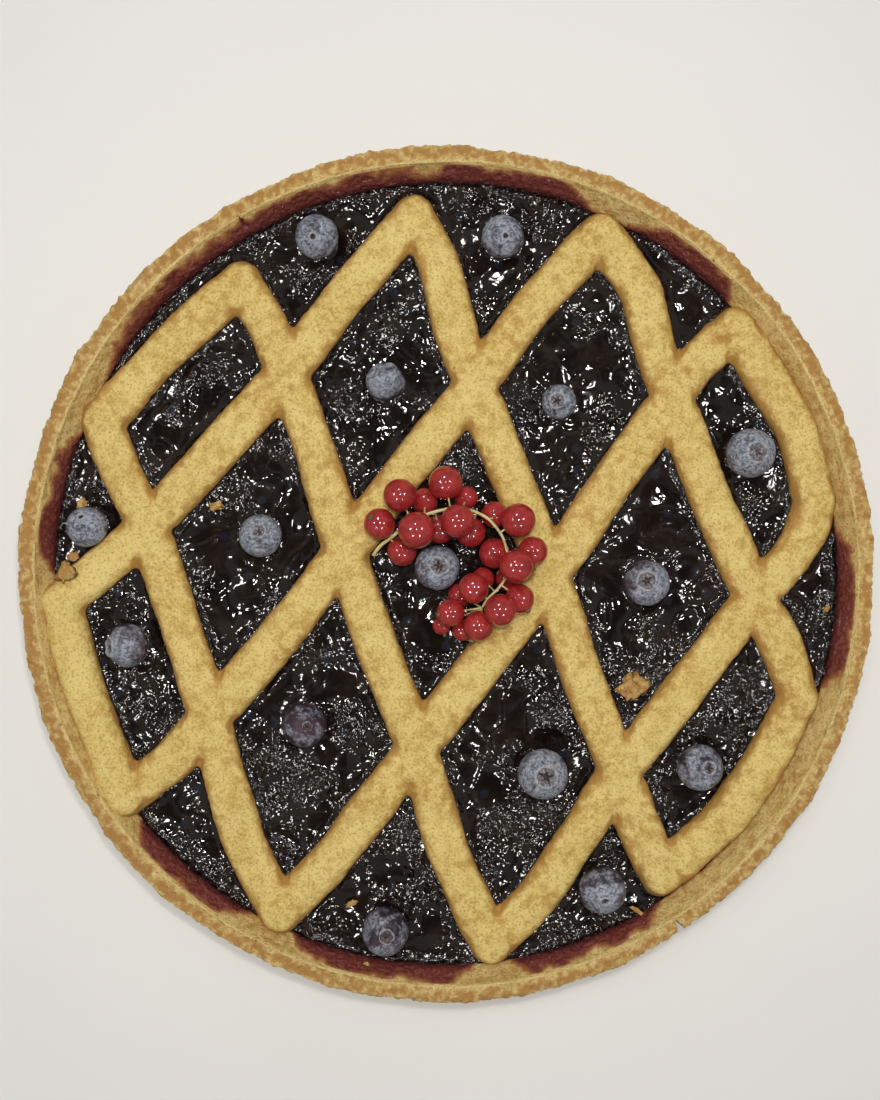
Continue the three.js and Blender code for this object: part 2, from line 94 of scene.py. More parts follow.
def make_object(name, bm, materials=()):
    """Turns a bmesh into an object in the scene, and frees the bmesh."""
    mesh = bpy.data.meshes.new(name)
    bm.to_mesh(mesh)
    bm.free()
    for material in materials:
        mesh.materials.append(material)
    made = bpy.data.objects.new(name, mesh)
    scene.collection.objects.link(made)
    return made


def finish_piece(name, bm, materials, nodes=()):
    """Makes a piece of a bmesh in millimetres and lets it stand for its solids."""
    bmesh.ops.scale(bm, vec=(MM, MM, MM), verts=bm.verts)
    for face in bm.faces:
        face.smooth = True
    piece = make_object(name, bm, materials)
    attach(piece, "root")
    if nodes:
        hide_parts(*nodes)
    piece.data.calc_loop_triangles()
    print(name, len(piece.data.loop_triangles), "triangles")


def fill_inputs(node, values):
    """Fills inputs of a node: a socket is linked, and any other value is set."""
    for key, value in values.items():
        if isinstance(value, bpy.types.NodeSocket):
            node.id_data.links.new(value, node.inputs[key])
        else:
            node.inputs[key].default_value = value


def add_node(tree, kind, values=None, **settings):
    """Adds a shader node with its settings and the values of its inputs."""
    made = tree.nodes.new(kind)
    for key, value in settings.items():
        setattr(made, key, value)
    fill_inputs(made, values or {})
    return made


def new_group(name, **sockets):
    """Starts a node group; INPUT and OUTPUT each give the kinds of some named sockets."""
    tree = bpy.data.node_groups.new(name, "ShaderNodeTree")
    for in_out, kinds in sockets.items():
        for label, kind in kinds.items():
            tree.interface.new_socket(label, in_out=in_out, socket_type=f"NodeSocket{kind}")
    return tree, tree.nodes.new("NodeGroupInput").outputs, tree.nodes.new("NodeGroupOutput")


def new_material(name):
    """A material with a Principled shader; returns it, its tree and the shader."""
    material = bpy.data.materials.new(name)
    material.use_nodes = True
    tree = material.node_tree
    return material, tree, tree.nodes["Principled BSDF"]


def attribute(tree, name):
    """The socket of a value that the mesh's vertices carry."""
    return add_node(tree, "ShaderNodeAttribute", attribute_name=name).outputs["Fac"]


def own_place(tree):
    """The socket of a point's place in the piece's own space."""
    return add_node(tree, "ShaderNodeTexCoord").outputs["Object"]


def noisy(tree, scale, detail, distortion=0.0):
    """The socket of noise with about so many lumps a metre as its scale says."""
    values = {"Vector": own_place(tree), "Scale": scale, "Detail": detail, "Distortion": distortion}
    return add_node(tree, "ShaderNodeTexNoise", values).outputs["Fac"]


def mixed(share, first, second):
    """The socket of a colour mixed from two by a share."""
    values = {0: share, 6: first, 7: second}
    return add_node(share.id_data, "ShaderNodeMix", values, data_type="RGBA").outputs[2]


def ranged(value, low, high, to_low=0.0, to_high=1.0):
    """The socket of a value taken from one range to another, held at both ends."""
    values = {"Value": value, "From Min": low, "From Max": high, "To Min": to_low, "To Max": to_high}
    return add_node(value.id_data, "ShaderNodeMapRange", values).outputs["Result"]


def computed(operation, first, second):
    """The socket of a sum, product or power of two values, the first one a socket."""
    values = {0: first, 1: second}
    return add_node(first.id_data, "ShaderNodeMath", values, operation=operation).outputs[0]


def add_bump(shader, height, strength, depth):
    """Gives a shader small relief; a height of 1 stands for the depth in metres."""
    values = {"Height": height, "Strength": strength, "Distance": depth}
    bump = add_node(shader.id_data, "ShaderNodeBump", values)
    fill_inputs(shader, {"Normal": bump.outputs["Normal"]})


# %% [markdown]
# ## Light and floor
#
# Food is mostly lit by one large soft source, and the sky lifts its shadows. Jam and
# redcurrants also need something small and bright to mirror, or they look like matt
# plastic. So a small lamp hangs beside the camera, five more are seen in mirrors only,
# and mirrors see a ceiling of their own that is dark where the camera hangs.

# %% Area lights and the sky
LAMP_COLOUR = (1.0, 0.985, 0.96)
GLINT_SIZE = 0.09
GLINT_POWER = 1.1
GLINTS = {
    "top_glint": (-0.1, 0.44, 0.6),
    "left_glint": (-0.42, 0.08, 0.58),
    "right_glint": (0.4, 0.1, 0.6),
    "low_left_glint": (-0.26, -0.36, 0.6),
    "low_right_glint": (0.24, -0.38, 0.6),
}
SKY_COLOUR = (1.0, 0.96, 0.9, 1)
SKY_STRENGTH = 0.27
# How steeply a mirrored ray points up where the ceiling starts to darken and where it
# is darkest, and how bright the ceiling is at both
CEILING_STEEPNESS = (0.88, 0.985)
CEILING_STRENGTH = (0.34, 0.05)


def area_light(name, place, size, power, only=None):
    """A square lamp at a place in metres that shines at the tart's middle."""
    data = bpy.data.lights.new(name, "AREA")
    data.size = size
    data.energy = power
    data.color = LAMP_COLOUR
    lamp = bpy.data.objects.new(name, data)
    lamp.location = place
    lamp.rotation_euler = (-Vector(place)).to_track_quat("-Z", "Y").to_euler()
    lamp.visible_glossy = only != "diffuse"
    lamp.visible_diffuse = only != "mirrored"
    scene.collection.objects.link(lamp)


area_light("window", (-0.05, 0.2, 1.1), 0.6, 6.0, only="diffuse")
area_light("lamp", (0.015, 0.05, 0.44), 0.022, 0.4)
for name, place in GLINTS.items():
    area_light(name, place, GLINT_SIZE, GLINT_POWER, only="mirrored")

world = bpy.data.worlds.new("studio")
world.use_nodes = True
sky = world.node_tree
direction = add_node(sky, "ShaderNodeTexCoord").outputs["Generated"]
upwards = add_node(sky, "ShaderNodeSeparateXYZ", {0: direction}).outputs["Z"]
ceiling = ranged(upwards, *CEILING_STEEPNESS, *CEILING_STRENGTH)
in_mirror = add_node(sky, "ShaderNodeLightPath").outputs["Is Glossy Ray"]
strength = add_node(sky, "ShaderNodeMix", {0: in_mirror, 2: SKY_STRENGTH, 3: ceiling}).outputs[0]
fill_inputs(sky.nodes["Background"], {"Color": SKY_COLOUR, "Strength": strength})
scene.world = world
scene.view_settings.view_transform = "Standard"

# %% A matt white floor
FLOOR_SIZE = 3.0
FLOOR_SCALE = 6
FLOOR_GREY = (0.88, 0.88, 0.87, 1)
FLOOR_WHITE = (0.93, 0.93, 0.92, 1)

pale_floor, tree, shader = new_material("pale floor")
floor_colour = mixed(noisy(tree, FLOOR_SCALE, 2.0), FLOOR_GREY, FLOOR_WHITE)
fill_inputs(shader, {"Base Color": floor_colour, "Roughness": 0.9})
floor_bm = bmesh.new()
bmesh.ops.create_grid(floor_bm, x_segments=1, y_segments=1, size=FLOOR_SIZE / 2)
make_object("floor", floor_bm, [pale_floor])

# %% [markdown]
# ## Where the pastry strips lie
#
# The lattice was laid by hand, so no two windows are alike. Its corners and crossings
# are listed once, in millimetres, and the strips run from one to the next. The crust,
# the creases and the jam also need to know how far a point is from the strips.

# %% Corners, crossings and routes of the strips
TURNS = {
    "upper_left": (-68, 96.5),
    "top_middle": (-10.5, 118.5),
    "top_right": (51, 112.5),
    "upper_right": (95.5, 81.3),
    "right_side": (121.8, 24),
    "lower_right": (116.5, -41),
    "bottom_right": (71, -100),
    "bottom_middle": (14.7, -122.5),
    "bottom_left": (-55, -112),
    "lower_left": (-106, -73.5),
    "left_side": (-127.4, -9.5),
    "high_left": (-113.8, 50.5),
}
CROSSINGS = {
    "top_one": (-52.5, 66.5),
    "top_two": (9.5, 62),
    "top_three": (75, 58),
    "middle_one": (-98.5, 15.5),
    "middle_two": (-33.5, 7),
    "middle_three": (34.5, -0.5),
    "middle_four": (102, -8),
    "bottom_one": (-78, -47.5),
    "bottom_two": (-9.5, -57.5),
    "bottom_three": (57.5, -66),
}
FALLING_STRIPS = [
    [
        "upper_left", (-58.8, 81.9), "top_one", (-42.2, 37), "middle_two",
        (-22.5, -25.7), "bottom_two", (0.8, -93), "bottom_middle",
    ],
    [
        "top_middle", (-2.2, 102.5), (3.6, 78), "top_two", "middle_three",
        (44.7, -33.8), "bottom_three", (63.3, -83), "bottom_right",
    ],
    [
        "top_right", (64.9, 93.6), (69, 73.5), "top_three",
        (87.5, 24.6), "middle_four", (111, -23.5), "lower_right",
    ],
    ["upper_right", (115.7, 48), "right_side"],
    ["high_left", (-107.4, 33), "middle_one", "bottom_one", (-72.8, -69.3), (-66, -90.9), "bottom_left"],
    ["left_side", (-119.6, -38.6), "lower_left"],
]
RISING_STRIPS = [
    ["high_left", (-92.1, 74.6), "upper_left"],
    ["left_side", (-109, 6), "middle_one", "top_one", (-32.6, 92.9), "top_middle"],
    [
        "lower_left", (-91, -62.4), "bottom_one", (-55.1, -20.9), "middle_two",
        (-12.7, 35.1), "top_two", (27.5, 87.3), "top_right",
    ],
    [
        "bottom_left", (-39.3, -96.4), "bottom_two", "middle_three",
        (54.2, 29.5), "top_three", (81.5, 68.5), "upper_right",
    ],
    ["bottom_middle", (30.3, -107), "bottom_three", "middle_four", (113.5, 4.7), (120, 15.3), "right_side"],
    ["bottom_right", (92.2, -81), (103.3, -65.8), "lower_right"],
]
ALL_STRIPS = FALLING_STRIPS + RISING_STRIPS
KNOTS = {**TURNS, **CROSSINGS}


def route_points(route):
    """The points of a route, whose named stops are knots."""
    return [Vector(KNOTS[stop] if isinstance(stop, str) else stop) for stop in route]


def distance_to(routes, points):
    """The distance of each row of an array of (x, y) points from the nearest route."""
    least = np.full(len(points), np.inf)
    for route in routes:
        stops = route_points(route)
        for start, end in zip(stops, stops[1:]):
            start, leg = np.array(start), np.array(end - start)
            share = np.clip(((points - start) @ leg) / (leg @ leg), 0, 1)
            away = points - start - share[:, None] * leg
            least = np.minimum(least, np.hypot(away[:, 0], away[:, 1]))
    return least


def vertex_values(bm, name):
    """The layer that holds a value for each vertex, which shaders read by its name."""
    return bm.verts.layers.float.get(name) or bm.verts.layers.float.new(name)


def plan_of(bm):
    """The (x, y) of every vertex, as the rows of an array."""
    return np.array([vert.co[:2] for vert in bm.verts])


def distance_from(place, points):
    """The distance of each row of an array of (x, y) points from one place."""
    return np.hypot(*(points - np.array(place)).T)


def only_verts(made):
    """The vertices among what an operator made."""
    return [item for item in made if isinstance(item, bmesh.types.BMVert)]


def unevenness(x, y, length):
    """A value between -1 and 1 that changes smoothly over the tart."""
    u = FULL_TURN * x / length
    v = FULL_TURN * y / length
    first = 0.5 * math.sin(u + 1.7 * math.sin(0.61 * v))
    return first + 0.5 * math.sin(v + 1.9 * math.sin(0.53 * u + 2))


def lumps(x, y, z, size, octaves=2):
    """Fractal noise between about -1 and 1 whose lumps have a size in millimetres."""
    return noise.fractal(Vector((x, y, z)) / size, 1.0, 2.0, octaves)


def held(value, low=0.0, high=1.0):
    """A value kept between two ends."""
    return max(low, min(high, value))


def powered(value, power):
    """A power of a value that keeps its sign."""
    return math.copysign(abs(value) ** power, value)


def point_top(bm, direction):
    """Turns a whole bmesh about the origin until its top points in a direction."""
    turned = Vector((0, 0, 1)).rotation_difference(Vector(direction).normalized())
    bmesh.ops.rotate(bm, verts=bm.verts, cent=(0, 0, 0), matrix=turned.to_matrix())


def bump_at(value, middle, width):
    """A smooth hump that is 1 at its middle."""
    return math.exp(-(((value - middle) / width) ** 2))


print("strips:", len(ALL_STRIPS))

# %% [markdown]
# ## Baked pastry
#
# Wholemeal shortcrust is golden with paler and darker patches, fine brown flecks of
# bran, and a dry, sandy surface. All pastry here shares these, so they are one node
# group, which the crust and the strips use with colours of their own: noise at three
# sizes for patches and grain, and the peaks of a twisted noise for the flecks, because
# bran is never round.

# %% The node group for wholemeal pastry
PATCH_SCALE = 75
MOTTLE_SCALE = 340
GRAIN_SCALE = 1250
FLECK_SCALE = 1250
FLECK_SHARE = 0.35

pastry, own, pastry_out = new_group(
    "wholemeal pastry",
    INPUT={
        "Dough": "Color", "Pale": "Color", "Baked": "Color", "Fleck": "Color",
        "Mottling": "Float", "Baking": "Float",
    },
    OUTPUT={"Color": "Color", "Height": "Float"},
)
patches = noisy(pastry, PATCH_SCALE, 3.0)
mottle = noisy(pastry, MOTTLE_SCALE, 4.0)
grain = noisy(pastry, GRAIN_SCALE, 2.0)
flecks = noisy(pastry, FLECK_SCALE, 1.0, 1.2)
unbaked = ranged(own["Baking"], -0.8, 0.0, 1.0, 0.0)
pale_share = computed("ADD", ranged(patches, 0.45, 0.72), unbaked)
colour = mixed(pale_share, own["Dough"], own["Pale"])
mottle_share = computed("MULTIPLY", ranged(mottle, 0.4, 0.62), own["Mottling"])
colour = mixed(mottle_share, colour, own["Pale"])
colour = mixed(ranged(grain, 0.54, 0.66, 0.0, 0.7), colour, own["Pale"])
colour = mixed(ranged(grain, 0.34, 0.48, 0.6, 0.0), colour, own["Baked"])
baking = computed("ADD", own["Baking"], ranged(mottle, 0.3, 0.7, 0.3, -0.3))
colour = mixed(ranged(baking, 0.25, 0.85, 0.0, 0.9), colour, own["Baked"])
colour = mixed(ranged(flecks, 0.61, 0.72, 0.0, FLECK_SHARE), colour, own["Fleck"])
height = computed("ADD", mottle, computed("MULTIPLY", grain, 0.7))
fill_inputs(pastry_out, {"Color": colour, "Height": height})


def wholemeal(tree, dough, pale, baked, fleck, mottling):
    """The sockets of the pastry group with a material's own colours."""
    values = {"Dough": dough, "Pale": pale, "Baked": baked, "Fleck": fleck, "Mottling": mottling}
    values["Baking"] = attribute(tree, "baking")
    return add_node(tree, "ShaderNodeGroup", values, node_tree=pastry).outputs


# %% Crust pastry, with the jam that boiled up its inner wall
DOUGH = (0.61, 0.42, 0.125, 1)
PALE_DOUGH = (0.75, 0.58, 0.24, 1)
BAKED_DOUGH = (0.42, 0.205, 0.05, 1)
FLECK = (0.17, 0.085, 0.03, 1)
FILM_DEEP = (0.03, 0.007, 0.008, 1)
FILM_COLOUR = (0.15, 0.03, 0.026, 1)
FILM_PAINTED_HIGHLIGHT = (0.3, 0.085, 0.065, 1)
FILM_EDGE_COLOUR = (0.36, 0.15, 0.05, 1)
FILM_STREAK_SCALE = 520
DRY_ROUGHNESS = 0.75
WET_ROUGHNESS = 0.14

crust_pastry, tree, shader = new_material("crust pastry")
dough = wholemeal(tree, DOUGH, PALE_DOUGH, BAKED_DOUGH, FLECK, 0.6)
streaks = noisy(tree, FILM_STREAK_SCALE, 3.0)
film = computed("ADD", attribute(tree, "film"), ranged(streaks, 0.3, 0.7, -0.16, 0.16))
stained = mixed(ranged(film, 0.25, 0.55), dough["Color"], FILM_EDGE_COLOUR)
# Painted highlights: lighter pinkish streaks on the film where its wrinkles rise
film_with_painted_highlights = mixed(ranged(streaks, 0.48, 0.66, 0.0, 0.75), FILM_COLOUR, FILM_PAINTED_HIGHLIGHT)
soaked = mixed(ranged(film, 0.5, 1.0), stained, film_with_painted_highlights)
soaked = mixed(ranged(film, 1.05, 1.8), soaked, FILM_DEEP)
wet = ranged(film, 0.35, 0.7)
roughness = ranged(wet, 0.0, 1.0, DRY_ROUGHNESS, WET_ROUGHNESS)
wrinkles = computed("MULTIPLY", streaks, 1.7)
relief = add_node(tree, "ShaderNodeMix", {0: wet, 2: dough["Height"], 3: wrinkles}).outputs[0]
fill_inputs(shader, {"Base Color": soaked, "Roughness": roughness, "Specular IOR Level": 0.3})
add_bump(shader, relief, 0.9, 0.0008)

# %% Strip pastry, smoother, and stained where it stands in the jam
STRIP_DOUGH = (0.6, 0.405, 0.1, 1)
STRIP_PALE = (0.81, 0.635, 0.225, 1)
STRIP_BAKED = (0.44, 0.22, 0.04, 1)
STRIP_FLECK = (0.33, 0.19, 0.06, 1)
JAM_STAIN = (0.035, 0.012, 0.02, 1)
STAIN_SCALE = 450

strip_pastry, tree, shader = new_material("strip pastry")
dough = wholemeal(tree, STRIP_DOUGH, STRIP_PALE, STRIP_BAKED, STRIP_FLECK, 0.75)
seeping = ranged(noisy(tree, STAIN_SCALE, 4.0), 0.3, 0.7, -0.2, 0.2)
stain = computed("ADD", attribute(tree, "stain"), seeping)
stained = mixed(ranged(stain, 0.35, 0.8), dough["Color"], JAM_STAIN)
roughness = ranged(stain, 0.5, 0.9, 0.72, 0.3)
fill_inputs(shader, {"Base Color": stained, "Roughness": roughness, "Specular IOR Level": 0.35})
add_bump(shader, dough["Height"], 0.8, 0.0006)

# %% [markdown]
# ## The crust
#
# The shell is pressed into a fluted tin: a flat floor, a wall of small rounded waves
# that leans outwards, and a rough rim where the dough was cut off. Its outline is
# drawn once and spun. The waves, the crumbly surface, the crack and the broken place
# are then moved vertices, which keeps the mesh one closed skin.

# %% Spin the outline of the shell
RIM_RADIUS = 140
RIM_HEIGHT = 27
CUT_RADIUS = 135.2
LIP_RADIUS = 134.2
FLOOR_TOP = 5
FLUTES = 52
FLUTE_DEPTH = 1.2
JAM_HEIGHT = 19.7
JAM_RADIUS = 129.9
WALL_STEPS = 24
CUT_STEPS = 8
INNER_STEPS = 14
SPIN_PARTS = 13
SPIN_STEPS = FLUTES * 28 // SPIN_PARTS


def stepped(start, end, steps):
    """Points from a start up to, but without, an end."""
    return [tuple(np.array(start) + (np.array(end) - np.array(start)) * i / steps) for i in range(steps)]


outline = [(0, 0), (70, 0), (120, 0), (132.4, 0), (133.8, 0.3), (134.5, 1.0)]
outline += stepped((134.75, 1.6), (RIM_RADIUS, 25.8), WALL_STEPS)
outline += [(139.95, 26.2), (139.5, 26.75)]
outline += stepped((138.8, RIM_HEIGHT), (CUT_RADIUS, RIM_HEIGHT), CUT_STEPS)
outline += [(CUT_RADIUS, RIM_HEIGHT), (134.85, 27.1), (134.55, 27.3), (134.35, 27.15)]
outline += stepped((LIP_RADIUS, 26.7), (JAM_RADIUS, JAM_HEIGHT), INNER_STEPS)
outline += [(JAM_RADIUS, JAM_HEIGHT), (127, 14.8), (122, 6.5)]
outline += [(119, FLOOR_TOP), (60, FLOOR_TOP), (0, FLOOR_TOP)]

crust_bm = bmesh.new()
corners = [crust_bm.verts.new((radius, 0, height)) for radius, height in outline]
edges = [crust_bm.edges.new(pair) for pair in zip(corners, corners[1:])]
bmesh.ops.spin(
    crust_bm,
    geom=corners + edges,
    axis=(0, 0, 1),
    cent=(0, 0, 0),
    angle=FULL_TURN / SPIN_PARTS,
    steps=SPIN_STEPS,
)
wedge = crust_bm.verts[:] + crust_bm.edges[:] + crust_bm.faces[:]
for part in range(1, SPIN_PARTS):
    made = bmesh.ops.duplicate(crust_bm, geom=wedge)["geom"]
    turned = Matrix.Rotation(part * FULL_TURN / SPIN_PARTS, 3, "Z")
    bmesh.ops.rotate(crust_bm, verts=only_verts(made), cent=(0, 0, 0), matrix=turned)
bmesh.ops.remove_doubles(crust_bm, verts=crust_bm.verts, dist=1e-3)
bmesh.ops.recalc_face_normals(crust_bm, faces=crust_bm.faces)
print("spun", len(crust_bm.verts), "vertices")

# %% Press in the flutes, roughen the dough and break the rim
# The shell's zones: its flat middle, the slope of its inner wall, the rough cut that
# is its top, and the thin lip inside the cut
FLAT_RADIUS = 118
INNER_RUN = 4.6
INNER_RISE = 7.3
CUT_START = (134.9, 26.95)
LIP_END = 134.95
RIM_LINE = 138
FLUTE_FADE_START = 17
FLUTE_FADE_SHARE = 0.7
RIM_BREAK_ANGLE = math.radians(-56.6)
RIM_BREAK_EDGE = 134.8
RIM_BREAK_FLARE = 10.2 / 2.4
RIM_BREAK_FOOT = 7
RIM_SPLIT_DEPTH = 1.4
RIM_CRACK_ANGLE = math.radians(120)
RIM_CRACK_END = 138.4
RIM_CRACK_FOOT = 23.5
RIM_CRACK_DEPTH = 1.9
STRIP_REACH = 7
FILM_RISE = 8.0
FILM_SOFTNESS = 3.2
FILM_DEEP_HEIGHT = 2.6
LIP_BAKING = -0.6
baking_layer = vertex_values(crust_bm, "baking")
film_layer = vertex_values(crust_bm, "film")


def flute_crest(angle):
    """1 on the crest of a flute and 0 in the groove between two."""
    turn = FLUTES * angle / FULL_TURN + 0.12 * math.sin(7 * angle)
    return math.sin(math.pi * (turn - math.floor(turn))) ** 0.7


def beside(angle, middle, radius):
    """How far a point lies sideways of a line out from the middle of the tart."""
    turn = (angle - middle + math.pi) % FULL_TURN - math.pi
    return radius * turn


def flute_reach(radius, z):
    """How much of a flute's depth a point gets: less under the base and on the cut."""
    if z < 1.5:
        return held((radius - 121) / 10)
    return held((radius - CUT_RADIUS) / 3.4) if z > 26 else 1.0


flat = plan_of(crust_bm)
from_strips = distance_to(ALL_STRIPS, flat) - STRIP_REACH
for vert, strip_gap in zip(crust_bm.verts, from_strips):
    x, y, z = vert.co
    radius = math.hypot(x, y)
    if radius < FLAT_RADIUS:
        continue
    angle = math.atan2(y, x)
    around = RIM_LINE * angle
    on_wall = radius > JAM_RADIUS + INNER_RUN * max(0, (z - JAM_HEIGHT) / INNER_RISE) + 0.2
    on_cut = radius > CUT_START[0] and z > CUT_START[1]
    on_lip = LIP_RADIUS < radius < LIP_END
    moved = radius
    if on_wall:
        reach = flute_reach(radius, z)
        fading = 1 - FLUTE_FADE_SHARE * held((z - FLUTE_FADE_START) / 8)
        groove = 1 - flute_crest(angle)
        moved -= FLUTE_DEPTH * groove * reach * fading * (0.85 + 0.5 * lumps(x, y, 0, 30.0))
        moved += 0.35 * lumps(x, y, z, 5.0) + 0.6 * lumps(x, y, z, 1.5, 3) * (1.3 - fading)
        moved += 0.75 * lumps(x, y, 0.3 * z, 21.0, 3) * reach
    else:
        moved += 0.22 * lumps(x, y, z, 6.0)
    if on_cut:
        z += 0.45 * unevenness(30 * angle, radius, 31) + 0.5 * lumps(x, y, 0, 2.6, 4)
        z -= 0.3 * held((radius - 136.5) / 2.5)
    if on_lip and z > 26.6:
        z += 0.25 + 0.3 * lumps(around, 0, 0, 6.0)
        moved += 0.35 * lumps(around, 7, 0, 14.0, 3)
    # The piece broken out of the rim, and the split that goes on from it
    side = beside(angle, RIM_BREAK_ANGLE, radius)
    if on_wall and z > RIM_BREAK_FOOT:
        notch = RIM_BREAK_EDGE + abs(side) * RIM_BREAK_FLARE
        moved = min(moved, notch + 0.7 * lumps(x, y, z, 1.6, 3))
    if on_cut and abs(side + 0.35 * (137 - radius)) < 0.6:
        z -= RIM_SPLIT_DEPTH * held((radius - 133.5) / 3)
    # The short crack
    crack = beside(angle, RIM_CRACK_ANGLE, radius) + 0.35 * math.sin(1.3 * radius)
    in_crack = abs(crack) < 0.75 - 0.07 * (radius - 131)
    if in_crack and z > RIM_CRACK_FOOT and radius < RIM_CRACK_END:
        z -= RIM_CRACK_DEPTH * held((RIM_CRACK_END - radius) / 2)
        moved += 0.0 if on_cut else 0.9
    # How baked it is, darkest on the torn cut
    patch = 0.5 + 0.5 * lumps(x, y, z, 14.0, 3)
    baked = 0.1 + 0.25 * patch
    if on_cut:
        torn = held(0.45 + 0.9 * lumps(around, 0.6 * radius, 9, 1.1, 4))
        torn += 0.45 * lumps(x, y, 70, 9.0, 2)
        baked = 0.14 + (0.3 * patch + 0.4 * torn) * held((radius - CUT_RADIUS) / 2.2)
        baked += 0.12 * held(-math.cos(angle))
    if on_wall and z > 20:
        baked += 0.6 * held(0.4 + lumps(x, y, z, 1.8, 3)) * held((z - 20) / 6)
    if on_lip and z > 26.4:
        baked = LIP_BAKING
    # The film of jam, which isn't there behind a strip
    film = 0.0
    if not on_wall and z < 26.6 and radius > 126:
        baked += 0.12 + 0.25 * lumps(17 * angle, 0, 2 * z, 1.3)
        boil = held(0.82 + 0.45 * lumps(x, y, 0, 11.0, 3))
        open_wall = held((strip_gap - 1.5) / 8)
        film_top = JAM_HEIGHT + 0.2 + FILM_RISE * boil * open_wall
        film = held(0.5 + (film_top - z) / FILM_SOFTNESS)
        moved -= 0.45 * held(2 * film - 0.5)
        deep = held((JAM_HEIGHT + FILM_DEEP_HEIGHT - z) / FILM_DEEP_HEIGHT)
        film += 0.8 * deep * held(2 * film - 1)
    vert[baking_layer] = baked
    vert[film_layer] = film
    vert.co = (moved * math.cos(angle), moved * math.sin(angle), z)

finish_piece("crust_pastry", crust_bm, [crust_pastry], ["crust"])

# %% [markdown]
# ## The lattice
#
# Each strip is a band of rolled dough about 14 mm wide with soft shoulders, and the
# strips melt together where they cross and where they turn back at the rim. A ring
# with the strip's section is extruded along each route, balls close the turns, and a
# voxel remesh joins everything. That skin is then smoothed, creased along the
# crossings and made slightly uneven, as hand-rolled dough is.

# %% Extrude a section along a route
STRIP_WIDTH = 14.3
STRIP_TOP = 25
STRIP_SHOULDER = 20.6
STRIP_FOOT = 17.9
STRIP_SQUARENESS = 0.76
FALLING_EXTRA_HEIGHT = 0.15
RISE_RADIUS = 118
RISE_SLOPE = 0.2
STRIP_STEP = 2.2
SECTION_POINTS = 28


def strip_size(x, y):
    """Half the width and the top of a strip where it passes a point."""
    rise = RISE_SLOPE * max(0, math.hypot(x, y) - RISE_RADIUS)
    half_width = STRIP_WIDTH / 2 + 0.35 * unevenness(x, y, 43)
    return half_width, STRIP_TOP + rise + 0.25 * unevenness(y, x, 29)


def eased(points, step, rounds):
    """A route cut into short steps, with its bends rounded off."""
    path = [points[0]]
    for start, end in zip(points, points[1:]):
        count = max(1, round((end - start).length / step))
        path += [start.lerp(end, i / count) for i in range(1, count + 1)]
    for _ in range(rounds):
        inner = [(path[i - 1] + path[i] * 2 + path[i + 1]) / 4 for i in range(1, len(path) - 1)]
        path = [path[0], *inner, path[-1]]
    return path


def heading(path, step):
    """The direction of a path at one of its steps."""
    return (path[min(step + 1, len(path) - 1)] - path[max(step - 1, 0)]).normalized()


def sweep(bm, steps, points, place_point):
    """Extrudes a ring along some steps; place_point(step, angle) puts each vertex."""
    angle_layer = vertex_values(bm, "angle")
    ring = bmesh.ops.create_circle(bm, cap_ends=True, segments=points, radius=1)["verts"]
    for vert in ring:
        vert[angle_layer] = math.atan2(vert.co.y, vert.co.x)
        vert.co = place_point(0, vert[angle_layer])
    ring_edges = list({edge for vert in ring for edge in vert.link_edges})
    for step in range(1, steps):
        made = bmesh.ops.extrude_edge_only(bm, edges=ring_edges)["geom"]
        ring_edges = [item for item in made if isinstance(item, bmesh.types.BMEdge)]
        ring_edges = [edge for edge in ring_edges if len(edge.link_faces) == 1]
        for vert in only_verts(made):
            vert.co = place_point(step, vert[angle_layer])
    bmesh.ops.edgeloop_fill(bm, edges=ring_edges)


def strip(bm, route, extra_height):
    """One band of dough with soft shoulders and a flat foot in the jam."""
    path = eased(route_points(route), STRIP_STEP, 4)

    def place_point(step, angle):
        point = path[step]
        along = heading(path, step)
        half_width, top = strip_size(point.x, point.y)
        across = powered(math.cos(angle), STRIP_SQUARENESS) * half_width
        if math.sin(angle) >= 0:
            share = math.sin(angle) ** STRIP_SQUARENESS
            height = STRIP_SHOULDER + share * (top + extra_height - STRIP_SHOULDER)
        else:
            height = STRIP_SHOULDER - abs(math.sin(angle)) ** 0.5 * (STRIP_SHOULDER - STRIP_FOOT)
        return (point.x + along.y * across, point.y - along.x * across, height)

    sweep(bm, len(path), SECTION_POINTS, place_point)


def turn_cap(bm, x, y):
    """The round outside of a turn: a ball pressed to the section of the strips."""
    half_width, top = strip_size(x, y)
    ball = bmesh.ops.create_uvsphere(bm, u_segments=36, v_segments=24, radius=1)["verts"]
    for vert in ball:
        reach = math.hypot(vert.co.x, vert.co.y)
        spread = half_width * reach ** STRIP_SQUARENESS / max(reach, 1e-6)
        rise = abs(vert.co.z) ** STRIP_SQUARENESS
        up = vert.co.z > 0
        height = rise * (top + FALLING_EXTRA_HEIGHT - STRIP_SHOULDER if up else STRIP_FOOT - STRIP_SHOULDER)
        vert.co = (x + vert.co.x * spread, y + vert.co.y * spread, STRIP_SHOULDER + height)


def gather(bm, shape, *values):
    """Makes a shape in a bmesh of its own, which is quicker, and adds it to another."""
    part = bmesh.new()
    shape(part, *values)
    bmesh.ops.recalc_face_normals(part, faces=part.faces)
    mesh = bpy.data.meshes.new("part")
    part.to_mesh(mesh)
    part.free()
    bm.from_mesh(mesh)
    bpy.data.meshes.remove(mesh)


lattice_bm = bmesh.new()
for route in FALLING_STRIPS:
    gather(lattice_bm, strip, route, FALLING_EXTRA_HEIGHT)
for route in RISING_STRIPS:
    gather(lattice_bm, strip, route, 0)
for x, y in TURNS.values():
    gather(lattice_bm, turn_cap, x, y)

# %% Melt the strips together
LATTICE_VOXEL = 0.98


